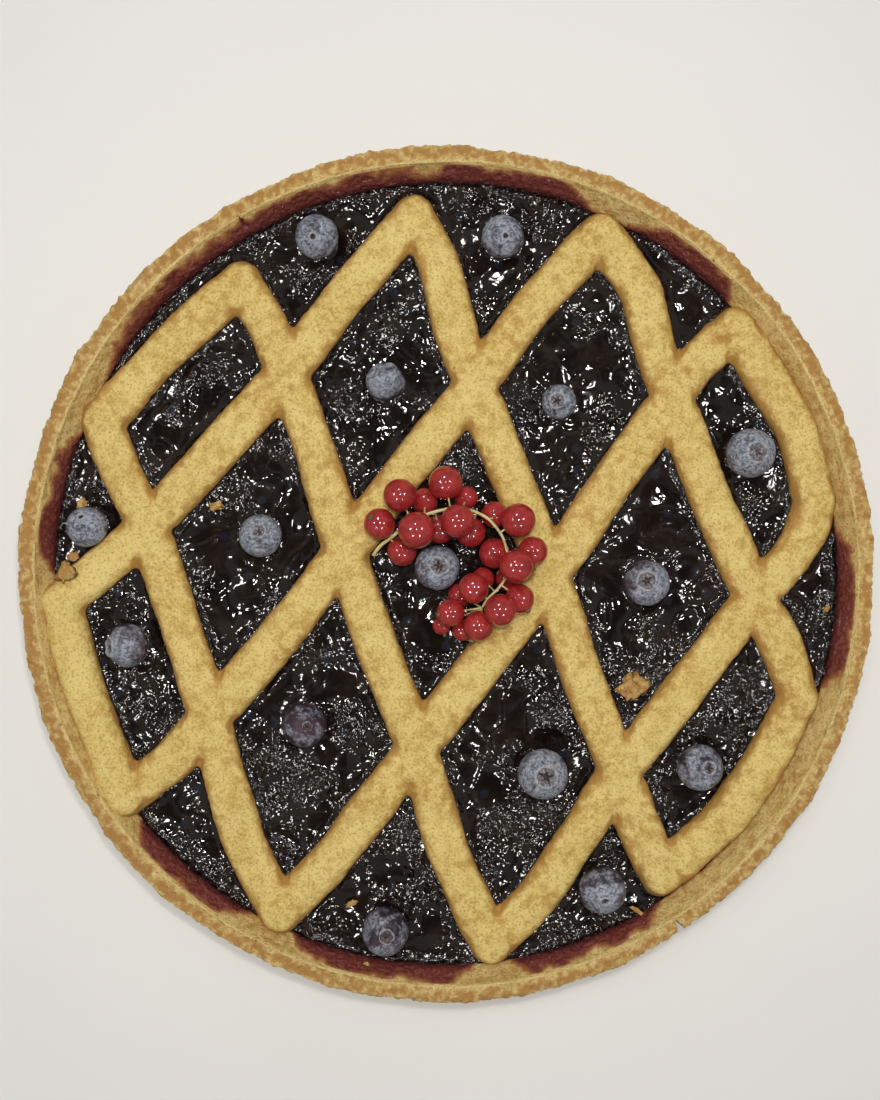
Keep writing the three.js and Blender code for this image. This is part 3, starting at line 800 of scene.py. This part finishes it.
def remeshed(bm, voxel):
    """A bmesh in millimetres joined into one skin of small squares."""
    holder = make_object("joining", bm)
    modifier = holder.modifiers.new("join", "REMESH")
    modifier.mode = "VOXEL"
    modifier.voxel_size = voxel
    seen = bpy.context.evaluated_depsgraph_get()
    joined = bmesh.new()
    joined.from_mesh(holder.evaluated_get(seen).to_mesh())
    holder.evaluated_get(seen).to_mesh_clear()
    bpy.data.meshes.remove(holder.data)
    return joined


lattice_bm = remeshed(lattice_bm, LATTICE_VOXEL)
bmesh.ops.smooth_vert(
    lattice_bm, verts=lattice_bm.verts, factor=0.5, use_axis_x=True, use_axis_y=True, use_axis_z=True
)
print("joined into", len(lattice_bm.faces), "faces")

# %% Crease the crossings and make the dough uneven
CREASE_FOOT = 21
CREASE_DEPTH = 1.2
CREASE_WIDTH = 0.9
CREASE_CORNER = 1.9
SCAR_PLACE = (91.0, 76.5)
SCAR_REACH = 6
SCAR_FOOT = 22.5
# To the left of and below this place the tops of the strips are painted paler: a painted pool of light
PAINTED_LIGHT_CORNER = (-99, 20)
STAIN_TOP = 21.8
STAIN_FADE = 1.7
baking_layer = vertex_values(lattice_bm, "baking")
stain_layer = vertex_values(lattice_bm, "stain")
lattice_bm.normal_update()
flat = plan_of(lattice_bm)
from_falling = distance_to(FALLING_STRIPS, flat)
from_rising = distance_to(RISING_STRIPS, flat)
from_turns = np.min([distance_from(turn, flat) for turn in TURNS.values()], axis=0)
for vert, falling, rising, turning in zip(lattice_bm.verts, from_falling, from_rising, from_turns):
    x, y, z = vert.co
    half_width = strip_size(x, y)[0]
    normal = vert.normal
    # The line where a strip lies on the one under it, deepest at its corners. It is pressed in, and also
    # painted darker there as painted shade
    crease_and_shade = 0.0
    if z > CREASE_FOOT:
        corner = math.hypot(falling - half_width, rising - half_width)
        crease_and_shade = bump_at(falling, half_width - 0.3, CREASE_WIDTH)
        crease_and_shade *= held((half_width + 0.6 - rising) / 1.5)
        crease_and_shade *= max(held(1 - (half_width - rising) / 5), 0.3 + 0.4 * lumps(x, y, 0, 8.0))
        crease_and_shade = max(crease_and_shade, 1.1 * bump_at(corner, 0, CREASE_CORNER))
        z -= CREASE_DEPTH * crease_and_shade
    # The skin of hand-rolled dough, with one torn place
    push = 0.3 * lumps(x, y, z, 11.0) + 0.14 * lumps(x, y, z, 3.6) + 0.16 * lumps(x, y, z, 1.8, 3)
    scar = math.hypot(x - SCAR_PLACE[0], 1.3 * (y - SCAR_PLACE[1]))
    if scar < SCAR_REACH and z > SCAR_FOOT:
        push += (1 - scar / SCAR_REACH) * (1.3 * lumps(x, y, z, 2.2, 3) - 0.5)
    vert.co = Vector((x, y, z)) + normal * push
    # How baked and how stained it is. The steep flanks and a band along each edge are darker,
    # partly browning and partly painted shade, and flanks that face left are darker still as painted shade
    steep = held(1.15 - normal.z)
    patch = 0.5 + 0.5 * lumps(x, y, z, 17.0, 3)
    edge = held((min(falling, rising, turning) - half_width + 3.2) / 3.2)
    baked = 0.5 * patch - 0.2 + steep * (0.65 + 0.35 * held(-normal.x)) + 0.38 * edge + 0.75 * crease_and_shade
    # A painted pool of light: the tops of the strips at the left and below are made paler
    baked -= 0.5 * held((PAINTED_LIGHT_CORNER[0] - x) / 12) * held((PAINTED_LIGHT_CORNER[1] - y) / 20) * held(1.3 - steep)
    vert[baking_layer] = baked + 0.55 * held(1.2 - scar / 5)
    stain_edge = STAIN_TOP + 0.9 * held(normal.x)
    vert[stain_layer] = held((stain_edge - z) / STAIN_FADE + 0.45 * lumps(x, y, 0, 7.0))

finish_piece("pastry_lattice", lattice_bm, [strip_pastry], ["lattice"])

# %% [markdown]
# ## The jam
#
# The jam is almost black and wet, and it has set with a lumpy skin: flat puddles
# between soft blobs of whole fruit, with small folds near the strips. A fine grid
# covers the disc and takes the relief, its rim is pulled down to the floor, and the
# folds too fine for the grid are bump in the shader. Most of what the eye sees is the
# lamps' mirror images on the relief.

# %% The jam's gloss and fine folds
JAM_DARK = (0.007, 0.004, 0.003, 1)
JAM_BROWN = (0.015, 0.0085, 0.006, 1)
BERRY_SKIN = (0.013, 0.014, 0.022, 1)
SWIRL_SCALE = 95
FOLD_SCALE = 210
SEED_SCALE = 300
SKIN_SCALE = 230
SKIN_RARITY = 0.9

jam_gloss, tree, shader = new_material("dark jam")
swirl = noisy(tree, SWIRL_SCALE, 3.0, 0.5)
folds = noisy(tree, FOLD_SCALE, 1.2, 1.4)
seeds = add_node(tree, "ShaderNodeTexVoronoi", {"Vector": own_place(tree), "Scale": SEED_SCALE})
skins = add_node(tree, "ShaderNodeTexVoronoi", {"Vector": own_place(tree), "Scale": SKIN_SCALE})
chosen = add_node(tree, "ShaderNodeSeparateColor", {"Color": skins.outputs["Color"]}).outputs["Red"]
chosen = ranged(chosen, SKIN_RARITY, SKIN_RARITY + 0.01)
skin_disc = ranged(skins.outputs["Distance"], 0.3, 0.45, 1.0, 0.0)
dark = mixed(ranged(swirl, 0.4, 0.65), JAM_DARK, JAM_BROWN)
dark = mixed(computed("MULTIPLY", chosen, skin_disc), dark, BERRY_SKIN)
roughness = ranged(swirl, 0.35, 0.7, 0.05, 0.12)
busy = computed("ADD", attribute(tree, "busy"), swirl)
busy = ranged(busy, 0.75, 1.3, 0.12, 1.0)
relief = computed("MULTIPLY", computed("MULTIPLY", folds, busy), 1.15)
domes = computed("POWER", ranged(seeds.outputs["Distance"], 0.0, 0.5), 2.0)
pips = computed("MULTIPLY", ranged(domes, 0.0, 1.0, 0.3, 0.0), busy)
fill_inputs(shader, {"Base Color": dark, "Roughness": roughness})
add_bump(shader, computed("ADD", relief, pips), 1.0, 0.0011)

# %% The jam's surface
JAM_CELL = 0.95
JAM_EDGE = 129.5
JAM_RELIEF = 0.45
JAM_FOOT_SHARE = 0.91
JAM_FOOT = 5.6
BURIED_BERRIES = 230
BURIED_REACH = 125
BURIED_SEED = 7
BLUEBERRY_SINK = 1.8
# Each: where it lies, its size, where its crown points, how far its bloom is rubbed
# off, how wide its crown is and how dark the crown's star
BLUEBERRIES = [
    ((-42.5, 110.5), 14.3, (0.1, 0.25, -1), 0.1, 0.3, 1),
    ((18.5, 110.5), 14.0, (-0.1, 0.2, -1), 0.25, 0.3, 1),
    ((-20, 63), 13.1, (-0.3, -0.9, -0.3), 0.6, 0.3, 1),
    ((37, 56.5), 11.5, (-0.2, 0, 1), 0.3, 0.43, 1),
    ((99.5, 39.5), 16.1, (0.1, -0.02, 1), 0.05, 0.42, 0.7),
    ((-118, 15.5), 13.5, (0.1, -0.6, -1), 0.15, 0.3, 1),
    ((-61, 12.5), 14.1, (0.05, 0.25, 1), 0.2, 0.3, 0.75),
    ((-3, 2), 14.8, (0.1, 0.1, 1), 0.2, 0.39, 1),
    ((-104.5, -23.5), 14.4, (-0.75, -0.05, 0.5), 0.35, 0.42, 0.8),
    ((65.5, -3), 15.0, (-0.15, 0.15, 1), 0.35, 0.4, 0.9),
    ((-46.5, -49.5), 14.4, (0.25, 0.05, 1), 1.15, 0.2, 0.9),
    ((31.5, -65.5), 16.4, (0.1, 0.05, 1), 0.1, 0.41, 1),
    ((83, -63.5), 15.1, (0.25, 0.15, 1), 0.5, 0.27, 1),
    ((-20, -117), 15.6, (0.1, 0.05, 1), 0.95, 0.28, 1),
    ((51, -103.5), 15.5, (0, 0.25, -1), 0.55, 0.3, 1),
]


def in_jam_radius(size):
    """How wide a blueberry is where the jam's surface cuts it."""
    return math.sqrt(BLUEBERRY_SINK * (size - BLUEBERRY_SINK))


jam_bm = bmesh.new()
cells = round(2 * (JAM_EDGE + 2) / JAM_CELL)
bmesh.ops.create_grid(jam_bm, x_segments=cells, y_segments=cells, size=JAM_EDGE + 2)
outside = [vert for vert in jam_bm.verts if vert.co.xy.length > JAM_EDGE]
bmesh.ops.delete(jam_bm, geom=outside, context="VERTS")
edge_verts = {vert for edge in jam_bm.edges if edge.is_boundary for vert in edge.verts}
for vert in edge_verts:
    vert.co.xy = vert.co.xy.normalized() * JAM_EDGE
flat = plan_of(jam_bm)
from_strips = distance_to(ALL_STRIPS, flat) - STRIP_WIDTH / 2
from_each = [distance_from(at, flat) - in_jam_radius(size) for at, size, *_ in BLUEBERRIES]
from_berries = np.min(from_each, axis=0)
chance = random.Random(BURIED_SEED)
buried = np.zeros(len(flat))
for _ in range(BURIED_BERRIES):
    spot = [chance.uniform(-BURIED_REACH, BURIED_REACH) for _ in range(2)]
    wide, high = chance.uniform(3.0, 6.2), chance.uniform(0.5, 1.5)
    away = distance_from(spot, flat) / wide
    buried = np.maximum(buried, high * np.sqrt(np.clip(1 - away**2, 0, 1)))
busy_layer = vertex_values(jam_bm, "busy")
for vert, strip_gap, berry_gap, dome in zip(jam_bm.verts, from_strips, from_berries, buried):
    x, y = vert.co.xy
    edge_gap = JAM_EDGE - math.hypot(x, y)
    open_share = held(min(strip_gap, edge_gap) / 3)
    height = JAM_HEIGHT - 0.3 + JAM_RELIEF * unevenness(x, y, 17)
    height += (0.5 * lumps(x, y, 0, 12.0, 1) + dome) * open_share
    # Where it is busy with small folds: in patches, more to the front, and near pieces
    rough = held(0.12 + 0.35 * held((20 - y) / 100) + 1.5 * lumps(x, y, 60, 19.0, 2))
    near_edge = math.exp(-max(min(strip_gap, berry_gap, edge_gap), 0) / 1.8)
    rough = max(rough, 0.85 * near_edge)
    height += 0.5 * lumps(x, y, 40, 4.4, 2) * (0.3 + rough) * held(strip_gap + 0.5)
    fold = 1 - abs(lumps(x, y, 90, 11.0, 1))
    height -= 0.7 * max(0, fold - 0.93) / 0.07 * open_share * (1 - rough)
    # It creeps up everything that stands in it
    height += 0.7 * math.exp(-max(strip_gap, 0) / 0.9)
    height += 0.8 * math.exp(-max(berry_gap, 0) / 0.9)
    height += 0.9 * math.exp(-edge_gap / 1.4) * (1 + lumps(x, y, 0, 4.0))
    vert.co.z = height
    vert[busy_layer] = rough
rim_edges = [edge for edge in jam_bm.edges if edge.is_boundary]
wall = bmesh.ops.extrude_edge_only(jam_bm, edges=rim_edges)["geom"]
for vert in only_verts(wall):
    vert.co = (vert.co.x * JAM_FOOT_SHARE, vert.co.y * JAM_FOOT_SHARE, JAM_FOOT)
bmesh.ops.edgeloop_fill(jam_bm, edges=[edge for edge in jam_bm.edges if edge.is_boundary])
bmesh.ops.recalc_face_normals(jam_bm, faces=jam_bm.faces)
finish_piece("jam_filling", jam_bm, [jam_gloss], ["filling"])

# %% [markdown]
# ## Blueberries
#
# A blueberry is a slightly flattened ball. One end carries the crown, a ring of five
# small lobes round a shallow crater, and the other a small round scar where its
# stalk came off. Both are moved vertices on a ball whose rings are crowded towards
# its two ends. The waxy bloom is a pale coat that is rubbed away in patches, so the
# shader mixes a grey-blue over a dark skin by noise. The bloom is also barer towards
# each berry's sides and bottom, partly wetted by the jam and partly painted shade.

# %% Waxy skin
BLOOM = (0.115, 0.13, 0.17, 1)
PALE_BLOOM = (0.37, 0.4, 0.47, 1)
SKIN = (0.018, 0.015, 0.026, 1)
PURPLE_SKIN = (0.055, 0.025, 0.038, 1)
CROWN_BROWN = (0.13, 0.088, 0.07, 1)
CROWN_PALE = (0.5, 0.48, 0.47, 1)
CROWN_DARK = (0.02, 0.012, 0.012, 1)
CLOUD_SCALE = 150
SCUFF_SCALE = 1000
RIPENESS_SCALE = 70

waxy_skin, tree, shader = new_material("waxy blueberry skin")
crown = attribute(tree, "crown")
cloud = noisy(tree, CLOUD_SCALE, 6.0, 0.9)
scuff = noisy(tree, SCUFF_SCALE, 5.0, 0.8)
ripe = noisy(tree, RIPENESS_SCALE, 1.0)
# The rubbed attribute also carries painted shade towards each berry's sides and bottom
bare_and_shaded = computed("ADD", ranged(cloud, 0.42, 0.64, -0.3, 0.85), attribute(tree, "rubbed"))
bare_and_shaded = computed("ADD", bare_and_shaded, ranged(scuff, 0.35, 0.65, -0.22, 0.22))
bloom = mixed(ranged(scuff, 0.62, 0.4), BLOOM, PALE_BLOOM)
under = mixed(ranged(ripe, 0.48, 0.6), SKIN, PURPLE_SKIN)
skin = mixed(ranged(bare_and_shaded, 0.0, 1.15), bloom, under)
skin = mixed(ranged(crown, -0.9, -0.2, 0.6, 0.0), skin, CROWN_PALE)
skin = mixed(ranged(crown, 0.1, 0.5, 0.0, 0.85), skin, CROWN_BROWN)
skin = mixed(ranged(crown, 0.6, 1.0), skin, CROWN_DARK)
roughness = ranged(bare_and_shaded, 0.4, 1.1, 0.7, 0.4)
fill_inputs(shader, {"Base Color": skin, "Roughness": roughness, "Specular IOR Level": 0.3})
add_bump(shader, scuff, 0.25, 0.0003)

# %% Shape and place each blueberry
BERRY_SEGMENTS = 88
BERRY_RINGS = 56
BERRY_CROWDING = 0.75
BERRY_SEED = 40
LOBES = 5
STALK_SCAR = 0.13


def crown_form(reach, azimuth, size, arms, star):
    """Height, brownness and paleness of the crown at a place on the top of a berry."""
    fifth = azimuth / FULL_TURN * LOBES % LOBES
    arm_length = size * 0.95 * arms[int(fifth + 0.5) % LOBES]
    lobe = math.sin(math.pi * (fifth % 1)) ** 0.6
    ring = size * (0.92 + 0.1 * lobe * arms[int(fifth)])
    off_arm = abs(fifth - round(fifth)) * FULL_TURN / LOBES * reach
    slit = 0.26 * size * max(0, 1 - reach / arm_length)
    dark = held((slit - off_arm) / (0.08 * size) + 0.3) * held((arm_length - reach) / (0.2 * size))
    inside = held((ring - reach) / (0.14 * size))
    height = (0.03 + 0.08 * lobe) * bump_at(reach, ring, 0.15 * size)
    height -= 0.07 * inside + 0.05 * dark
    pale = bump_at(reach, ring * 1.06, 0.1 * size)
    return height, max(0.42 * inside, 1.1 * dark * star) - 0.9 * pale * (1 - dark), pale


def scar_form(reach):
    """The same for the round scar that the stalk leaves at the other end."""
    hollow = held((STALK_SCAR - reach) / 0.05)
    ring = bump_at(reach, STALK_SCAR + 0.05, 0.045)
    return 0.12 * hollow - 0.05 * ring, 1.1 * hollow - 0.9 * ring * (1 - hollow), ring


def blueberry(number, at, size, crown_direction, rubbed, crown_size, star):
    """One berry of a size, whose crown attribute is negative where it is pale."""
    bm = bmesh.new()
    crown_layer = vertex_values(bm, "crown")
    rubbed_and_shade_layer = vertex_values(bm, "rubbed")
    bmesh.ops.create_uvsphere(bm, u_segments=BERRY_SEGMENTS, v_segments=BERRY_RINGS, radius=1)
    seed = BERRY_SEED + number
    chance = random.Random(seed)
    twist = chance.uniform(0, FULL_TURN)
    squash = chance.uniform(0.88, 0.95)
    arms = [chance.uniform(0.65, 1.1) for _ in range(LOBES)]
    for vert in bm.verts:
        polar = math.acos(held(vert.co.z, -1, 1)) / math.pi
        azimuth = math.atan2(vert.co.y, vert.co.x)
        polar = math.pi * (polar - BERRY_CROWDING * math.sin(FULL_TURN * polar) / FULL_TURN)
        reach, up = math.sin(polar), math.cos(polar)
        x, y = reach * math.cos(azimuth), reach * math.sin(azimuth)
        radius = 1 + 0.03 * lumps(x, y, up + seed, 0.7) + 0.012 * lumps(x, y, up + seed, 0.22)
        wobble = 0.25 * lumps(x, y, seed, 0.25)
        if up > 0:
            ragged = reach * (1 + 0.3 * wobble)
            height, brown, pale = crown_form(ragged, azimuth + twist + wobble, crown_size, arms, star)
        else:
            height, brown, pale = scar_form(reach * (1 + 0.5 * wobble))
        height += up * squash
        vert.co = (radius * x, radius * y, radius * height)
        vert[crown_layer] = brown + (0.7 * lumps(x, y, seed, 0.08, 3) if abs(brown) > 0.08 else 0)
        vert[rubbed_and_shade_layer] = rubbed - 0.4 - 0.45 * pale + 0.2 * bump_at(reach, crown_size * 1.5, 0.1)
    point_top(bm, crown_direction)
    # Darker towards the sides and bottom of the berry: partly bloom wetted by the jam, partly painted shade
    for vert in bm.verts:
        vert[rubbed_and_shade_layer] += 0.75 * held((0.8 - vert.co.z) / 0.8) ** 2
    bmesh.ops.scale(bm, verts=bm.verts, vec=(size / 2, size / 2, size / 2))
    middle = (at[0], at[1], JAM_HEIGHT + size / 2 - BLUEBERRY_SINK)
    bmesh.ops.translate(bm, verts=bm.verts, vec=middle)
    name = f"blueberry_{number:02d}"
    finish_piece(f"{name}_fruit", bm, [waxy_skin], [name])


for number, row in enumerate(BLUEBERRIES, start=1):
    blueberry(number, *row)

# %% [markdown]
# ## Redcurrants
#
# Redcurrants are small, tight, see-through berries with pale veins from end to end
# and a dry brown tuft, the rest of the flower, at the far end. Light that enters
# them comes out somewhere else, so the skin is a clear coat over a red that scatters
# light. Each one is a ball where its solid is, with veins as an attribute, and a
# short cone with a ragged mouth is its tuft.

# %% Clear red skin and dry tufts
CURRANT_RED = (0.38, 0.02, 0.022, 1)
CURRANT_PAINTED_GLOW = (0.45, 0.045, 0.02, 1)
CURRANT_DEEP = (0.2, 0.008, 0.01, 1)
CURRANT_VEIN = (0.6, 0.1, 0.08, 1)
CURRANT_LOOK = {
    "Roughness": 0.1,
    "Subsurface Weight": 0.35,
    "Subsurface Radius": (1.0, 0.12, 0.06),
    "Subsurface Scale": 0.002,
    "Coat Weight": 0.25,
    "Coat Roughness": 0.5,
}
FLESH_SCALE = 300
TUFT_BROWN = (0.09, 0.04, 0.02, 1)
TUFT_PALE = (0.3, 0.17, 0.08, 1)
TUFT_FIBRE_SCALE = 1800

clear_red, tree, shader = new_material("clear redcurrant skin")
flesh = noisy(tree, FLESH_SCALE, 3.0)
# Painted light: the lower side of each currant is painted orange, a painted glow where light gathers inside
# it
red = mixed(computed("MULTIPLY", attribute(tree, "low"), 0.5), CURRANT_RED, CURRANT_PAINTED_GLOW)
red = mixed(computed("MULTIPLY", attribute(tree, "vein"), 0.16), red, CURRANT_VEIN)
red = mixed(ranged(flesh, 0.45, 0.62, 0.0, 0.55), red, CURRANT_DEEP)
fill_inputs(shader, {"Base Color": red, **CURRANT_LOOK})

dry_tuft, tree, shader = new_material("dry flower tuft")
fibres = noisy(tree, TUFT_FIBRE_SCALE, 3.0)
brown = mixed(ranged(fibres, 0.35, 0.65), TUFT_BROWN, TUFT_PALE)
fill_inputs(shader, {"Base Color": brown, "Roughness": 0.85})
add_bump(shader, fibres, 0.5, 0.0003)

# %% Shape and place each redcurrant
CURRANTS = 25
CURRANT_SEGMENTS = 48
CURRANT_RINGS = 28
CURRANT_SEED = 100
VEINS = 6
# Which way the tufts that show in the picture point, by the currant's number
TUFTS_SEEN = {
    3: (-0.27, 0.6, 0.75),
    8: (0.0, -1.0, 0.05),
    11: (0.2, 1.0, 0.1),
    12: (0.3, -1.0, 0.1),
    14: (-0.86, -0.11, 0.5),
    15: (-0.45, 0.39, 0.8),
    23: (0.54, -0.75, 0.38),
    25: (-0.46, -0.9, 0.1),
}
SPRIG_MIDDLE = Vector((5, 7, 36))


def tuft(bm, radius, chance):
    """A short dry tube with a ragged mouth on the far end of a currant."""
    made = bmesh.ops.create_cone(
        bm, cap_ends=True, segments=10, radius1=0.17 * radius, radius2=0.1 * radius, depth=0.22 * radius
    )["verts"]
    top = max(vert.co.z for vert in made)
    for vert in made:
        if vert.co.z > top - 1e-5:
            vert.co.xy *= chance.uniform(0.9, 2.1)
            vert.co.z += chance.uniform(0.0, 0.24) * radius
        vert.co.z += 0.98 * radius
    return {face for vert in made for face in vert.link_faces}


def currant(number):
    """One redcurrant inside its solid's box; gives back its middle and its radius."""
    name = f"currant_{number:02d}"
    lowest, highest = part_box(name)
    middle = (lowest + highest) / 2 / MM
    radius = (highest - lowest).z / 2 / MM
    chance = random.Random(CURRANT_SEED + number)
    away = (middle - SPRIG_MIDDLE).normalized() + Vector((0, 0, -0.9))
    far_end = TUFTS_SEEN.get(number, away)
    bm = bmesh.new()
    vein_layer = vertex_values(bm, "vein")
    painted_glow_layer = vertex_values(bm, "low")
    bmesh.ops.create_uvsphere(bm, u_segments=CURRANT_SEGMENTS, v_segments=CURRANT_RINGS, radius=radius)
    for vert in bm.verts:
        azimuth = math.atan2(vert.co.y, vert.co.x)
        up = vert.co.z / radius
        vert[vein_layer] = abs(math.cos(VEINS * azimuth)) ** 6 * (1 - 0.6 * up * up)
        vert.co *= 1 + 0.014 * lumps(*(vert.co / radius), 0.8) + 0.002 * math.cos(VEINS * 2 * azimuth)
    for face in tuft(bm, radius, chance):
        face.material_index = 1
    point_top(bm, far_end)
    # How far down a vertex lies once the currant is turned, which sets the painted glow
    for vert in bm.verts:
        vert[painted_glow_layer] = held(0.5 - 0.6 * vert.co.z / radius)
    bmesh.ops.translate(bm, verts=bm.verts, vec=middle)
    finish_piece(f"{name}_fruit", bm, [clear_red, dry_tuft], [name])
    return middle, radius


currants = [currant(number) for number in range(1, CURRANTS + 1)]

# %% [markdown]
# ## The stalk
#
# The sprig hangs together on one thin green-yellow stalk that winds through the
# berries, with a short side stalk to each one that doesn't touch it. Both are rings
# extruded along a curve that thins towards its end. The side stalks leave the main
# one at its nearest point and sag a little on the way.

# %% Green-yellow stalk skin
STALK_GREEN = (0.66, 0.56, 0.25, 1)
STALK_BROWN = (0.42, 0.27, 0.1, 1)
BLOTCH_SCALE = 500

stalk_skin, tree, shader = new_material("stalk skin")
blotches = noisy(tree, BLOTCH_SCALE, 3.0)
green = mixed(ranged(blotches, 0.5, 0.7), STALK_GREEN, STALK_BROWN)
fill_inputs(shader, {"Base Color": green, "Roughness": 0.5})
add_bump(shader, blotches, 0.3, 0.0003)

# %% Extrude the stalk and its side stalks
STALK_WIDTH = 1.3
SIDE_STALK_RADIUS = 0.34
SIDE_STALK_END = 0.97
SIDE_STALK_SAG = 0.12
SIDE_STALK_SHORTEST = 0.8
STALK_ROUTE = [
    (-24, 6, 26.2), (-21.5, 9.5, 27), (-17.5, 12, 29), (-13, 16.5, 31), (-6, 19.5, 33),
    (-1, 20.8, 33), (3.5, 21.5, 32.2), (8.5, 20.5, 32.8), (13.5, 18, 33.6), (18, 12.5, 33),
    (20, 6, 31), (19.5, -1, 30.5), (16.5, -5, 31.4), (13, -8, 31), (11.5, -11, 29.5),
]


def round_stem(bm, path, radius_at, points=10):
    """A thin round stem along a path; radius_at(share) is its radius along the way."""

    def place_point(step, angle):
        along = heading(path, step)
        side = along.cross(Vector((0, 0, 1))).normalized()
        radius = radius_at(step / (len(path) - 1))
        return path[step] + (side * math.cos(angle) + side.cross(along) * math.sin(angle)) * radius

    sweep(bm, len(path), points, place_point)


stalk_bm = bmesh.new()
stalk_path = eased([Vector(point) for point in STALK_ROUTE], 0.6, 12)
gather(stalk_bm, round_stem, stalk_path, lambda share: STALK_WIDTH / 2 * (0.92 - 0.3 * share))
for middle, radius in currants:
    root = min(stalk_path, key=lambda point: (point - middle).length)
    toward = (root - middle).normalized()
    tip = middle + toward * radius * SIDE_STALK_END
    length = (root - tip).length
    if length < SIDE_STALK_SHORTEST:
        continue
    sag = Vector((0, 0, -SIDE_STALK_SAG * length))
    path = eased([root, (root + tip) / 2 + sag, tip], 0.5, 2)
    gather(stalk_bm, round_stem, path, lambda share: SIDE_STALK_RADIUS - 0.08 * share, 8)
finish_piece("currant_stalk", stalk_bm, [stalk_skin], ["stalk"])

# %% [markdown]
# ## Crumbs
#
# A few flakes of crust broke off and lie on the strips and in the jam. Each one is
# a small ball pressed flat and roughened, and they are all one piece, because none
# of them matters by itself.

# %% Flakes and crumbs
# Each: where it lies, how long, wide and thick it is, and how far it is turned
CRUMBS = [
    ((61.3, -37.7, 22.6), (8.4, 7.2, 2.0), 0.6),
    ((-75.3, 22.2, 26.1), (4.6, 2.6, 1.2), 0.3),
    ((-119.8, 23.2, 24.5), (3.6, 2.4, 1.0), 1.0),
    ((-122.4, 5.8, 25.4), (3.4, 2.6, 1.0), 0.2),
    ((-124.7, 0.3, 25.8), (6.6, 5.2, 1.8), 0.9),
    ((-31.5, -109.3, 20.9), (4.0, 1.6, 0.6), 0.4),
    ((63.3, -111.6, 21.0), (4.2, 1.4, 0.6), 2.6),
    ((-26.3, -128.9, 22.8), (2.2, 1.6, 1.0), 0.0),
    ((124.4, -11.2, 26.3), (2.4, 1.6, 1.0), 0.8),
]
CRUMB_BAKING = 0.75
crumbs_bm = bmesh.new()
crumb_baking = vertex_values(crumbs_bm, "baking")
for place, size, turn in CRUMBS:
    made = bmesh.ops.create_icosphere(crumbs_bm, subdivisions=3, radius=1)["verts"]
    for vert in made:
        x, y, z = vert.co
        rough = 1 + 0.75 * lumps(x + place[0], y + place[1], z, 0.55, 3)
        flake = Vector((powered(x, 0.8) * size[0], powered(y, 0.8) * size[1], z * size[2])) * 0.5 * rough
        flake.z += 0.25 * size[2] * lumps(x, y + place[0], 0, 0.6)
        across = math.cos(turn) * flake.x - math.sin(turn) * flake.y
        along = math.sin(turn) * flake.x + math.cos(turn) * flake.y
        vert.co = (place[0] + across, place[1] + along, place[2] + flake.z)
        vert[crumb_baking] = CRUMB_BAKING
finish_piece("crust_crumbs", crumbs_bm, [crust_pastry])
